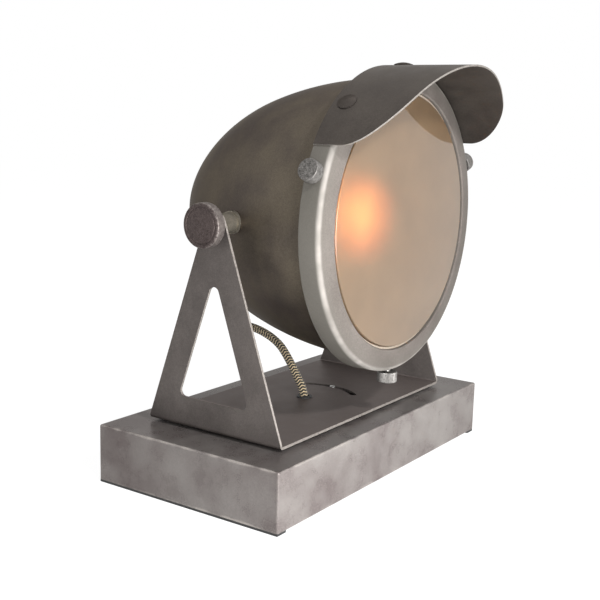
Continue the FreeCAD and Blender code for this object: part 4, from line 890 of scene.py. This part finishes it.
class LAMP_OT_stage(bpy.types.Operator):
    """Sets the pale floor, the soft studio light and the camera"""

    bl_idname = "lamp.stage"
    bl_label = "Stage"

    FLOOR_SIDE = 4.0
    FLOOR_WHITE = 0.75
    WORLD_FILL = 0.46
    AIM = (0, 0, 0.15)
    LAMPS = (
        # name, place, diameter, watts, seen in glossy surfaces
        ("key", (-0.3, -0.5, 0.14), 0.34, 5.4, True),
        ("high", (-0.3, -0.8, 0.8), 0.1, 9, False),
        ("top", (0.2, 0.1, 1.5), 0.8, 2, True))
    CAMERA = (-0.6646189, -0.4527255 + PAN_Y, 0.2775038)
    YAW, PITCH, ROLL = 0.9657215, 0.1814315, 0.0266951
    FOCAL_PIXELS, PHOTO_PIXELS, SENSOR = 1009.349, 600, 36

    def execute(self, context):
        scene = context.scene
        scene.view_settings.view_transform = "Standard"
        self.floor(scene)
        self.world(scene)
        for lamp in self.LAMPS:
            self.lamp(scene, *lamp)
        self.camera(scene)
        return {"FINISHED"}

    def floor(self, scene):
        """Mostly white to the camera and in reflections, there less so at the far left,
        and pale paint to all other light."""
        side = self.FLOOR_SIDE
        mesh = bpy.data.meshes.new("floor")
        mesh.from_pydata([(-side, -side, 0), (side, -side, 0), (side, side, 0), (-side, side, 0)],
                         [], [(0, 1, 2, 3)])
        floor = bpy.data.objects.new("floor", mesh)
        scene.collection.objects.link(floor)
        finish = Finish("pale floor")
        paint = finish.node("ShaderNodeBsdfDiffuse", None, {"Color": (0.86, 0.86, 0.86)})
        white = finish.node("ShaderNodeEmission", None, {"Color": (1, 1, 1), "Strength": 1.2})
        ray = finish.rays()
        shade = finish.split(finish.place)[0].step(-0.45, -0.12) * 0.6 + 0.4
        seen = ray("Camera").most(ray("Glossy") * shade) * self.FLOOR_WHITE
        finish.close(finish.node("ShaderNodeMixShader", None, {
            0: seen, 1: paint.outputs[0], 2: white.outputs[0]}))
        mesh.materials.append(finish.material)

    def world(self, scene):
        """White to the camera, in metal and through glass, and a softer light elsewhere."""
        scene.world = bpy.data.worlds.new("studio")
        nodes = Nodes(scene.world, "ShaderNodeOutputWorld")
        ray = nodes.rays()
        seen = ray("Camera").most(ray("Transmission")).most(ray("Glossy"))
        level = nodes.node("ShaderNodeMapRange", None, {"Value": seen, "To Min": self.WORLD_FILL})
        nodes.close(nodes.node("ShaderNodeBackground", None, {
            "Color": (1, 1, 1), "Strength": level.outputs[0]}))

    def lamp(self, scene, name, place, size, power, glossy):
        light = bpy.data.lights.new(name, "AREA")
        light.shape = "DISK"
        light.size = size
        light.energy = power
        lamp = bpy.data.objects.new(name, light)
        lamp.visible_glossy = glossy
        scene.collection.objects.link(lamp)
        turn = (Vector(self.AIM) - Vector(place)).to_track_quat("-Z", "Y").to_matrix()
        lamp.matrix_world = Matrix.Translation(place) @ turn.to_4x4()

    def camera(self, scene):
        """The photograph's view: 60.6 mm lens, from the front left and a little above."""
        level = math.cos(self.PITCH)
        forward = Vector((math.sin(self.YAW) * level, math.cos(self.YAW) * level,
                          -math.sin(self.PITCH)))
        right = Vector((math.cos(self.YAW), -math.sin(self.YAW), 0))
        up = right.cross(forward)
        across = math.cos(self.ROLL) * right + math.sin(self.ROLL) * up
        above = -math.sin(self.ROLL) * right + math.cos(self.ROLL) * up
        turn = Matrix((across, above, -forward)).transposed().to_4x4()
        data = bpy.data.cameras.new("camera")
        data.sensor_width = self.SENSOR
        data.lens = self.FOCAL_PIXELS / self.PHOTO_PIXELS * self.SENSOR
        camera = bpy.data.objects.new("camera", data)
        scene.collection.objects.link(camera)
        camera.matrix_world = Matrix.Translation(self.CAMERA) @ turn
        scene.camera = camera


class LAMP_PT_panel(bpy.types.Panel):
    """Lists the lamp's pieces, sizes and colours in the sidebar"""

    bl_idname = "LAMP_PT_panel"
    bl_label = "Searchlight"
    bl_space_type = "VIEW_3D"
    bl_region_type = "UI"
    bl_category = "Searchlight"

    def draw(self, context):
        for step in STEPS:
            self.layout.operator(step.bl_idname)
        for group in (context.scene.lamp_sizes, context.scene.lamp_colours):
            for key in group.bl_rna.properties.keys():
                if key not in ("rna_type", "name"):
                    self.layout.prop(group, key)


STEPS = (LAMP_OT_base, LAMP_OT_fittings, LAMP_OT_yoke, LAMP_OT_bowl, LAMP_OT_tilt_joint,
         LAMP_OT_bezel, LAMP_OT_lens, LAMP_OT_thumbscrews, LAMP_OT_lead, LAMP_OT_stage)
CLASSES = (LampSizes, LampColours) + STEPS + (LAMP_PT_panel,)


def register():
    for cls in CLASSES:
        bpy.utils.register_class(cls)
    bpy.types.Scene.lamp_sizes = bpy.props.PointerProperty(type=LampSizes)
    bpy.types.Scene.lamp_colours = bpy.props.PointerProperty(type=LampColours)


def unregister():
    del bpy.types.Scene.lamp_colours
    del bpy.types.Scene.lamp_sizes
    for cls in reversed(CLASSES):
        bpy.utils.unregister_class(cls)


def main():
    register()
    for step in STEPS:
        category, name = step.bl_idname.split(".")
        getattr(getattr(bpy.ops, category), name)()


if __name__ == "__main__":
    main()
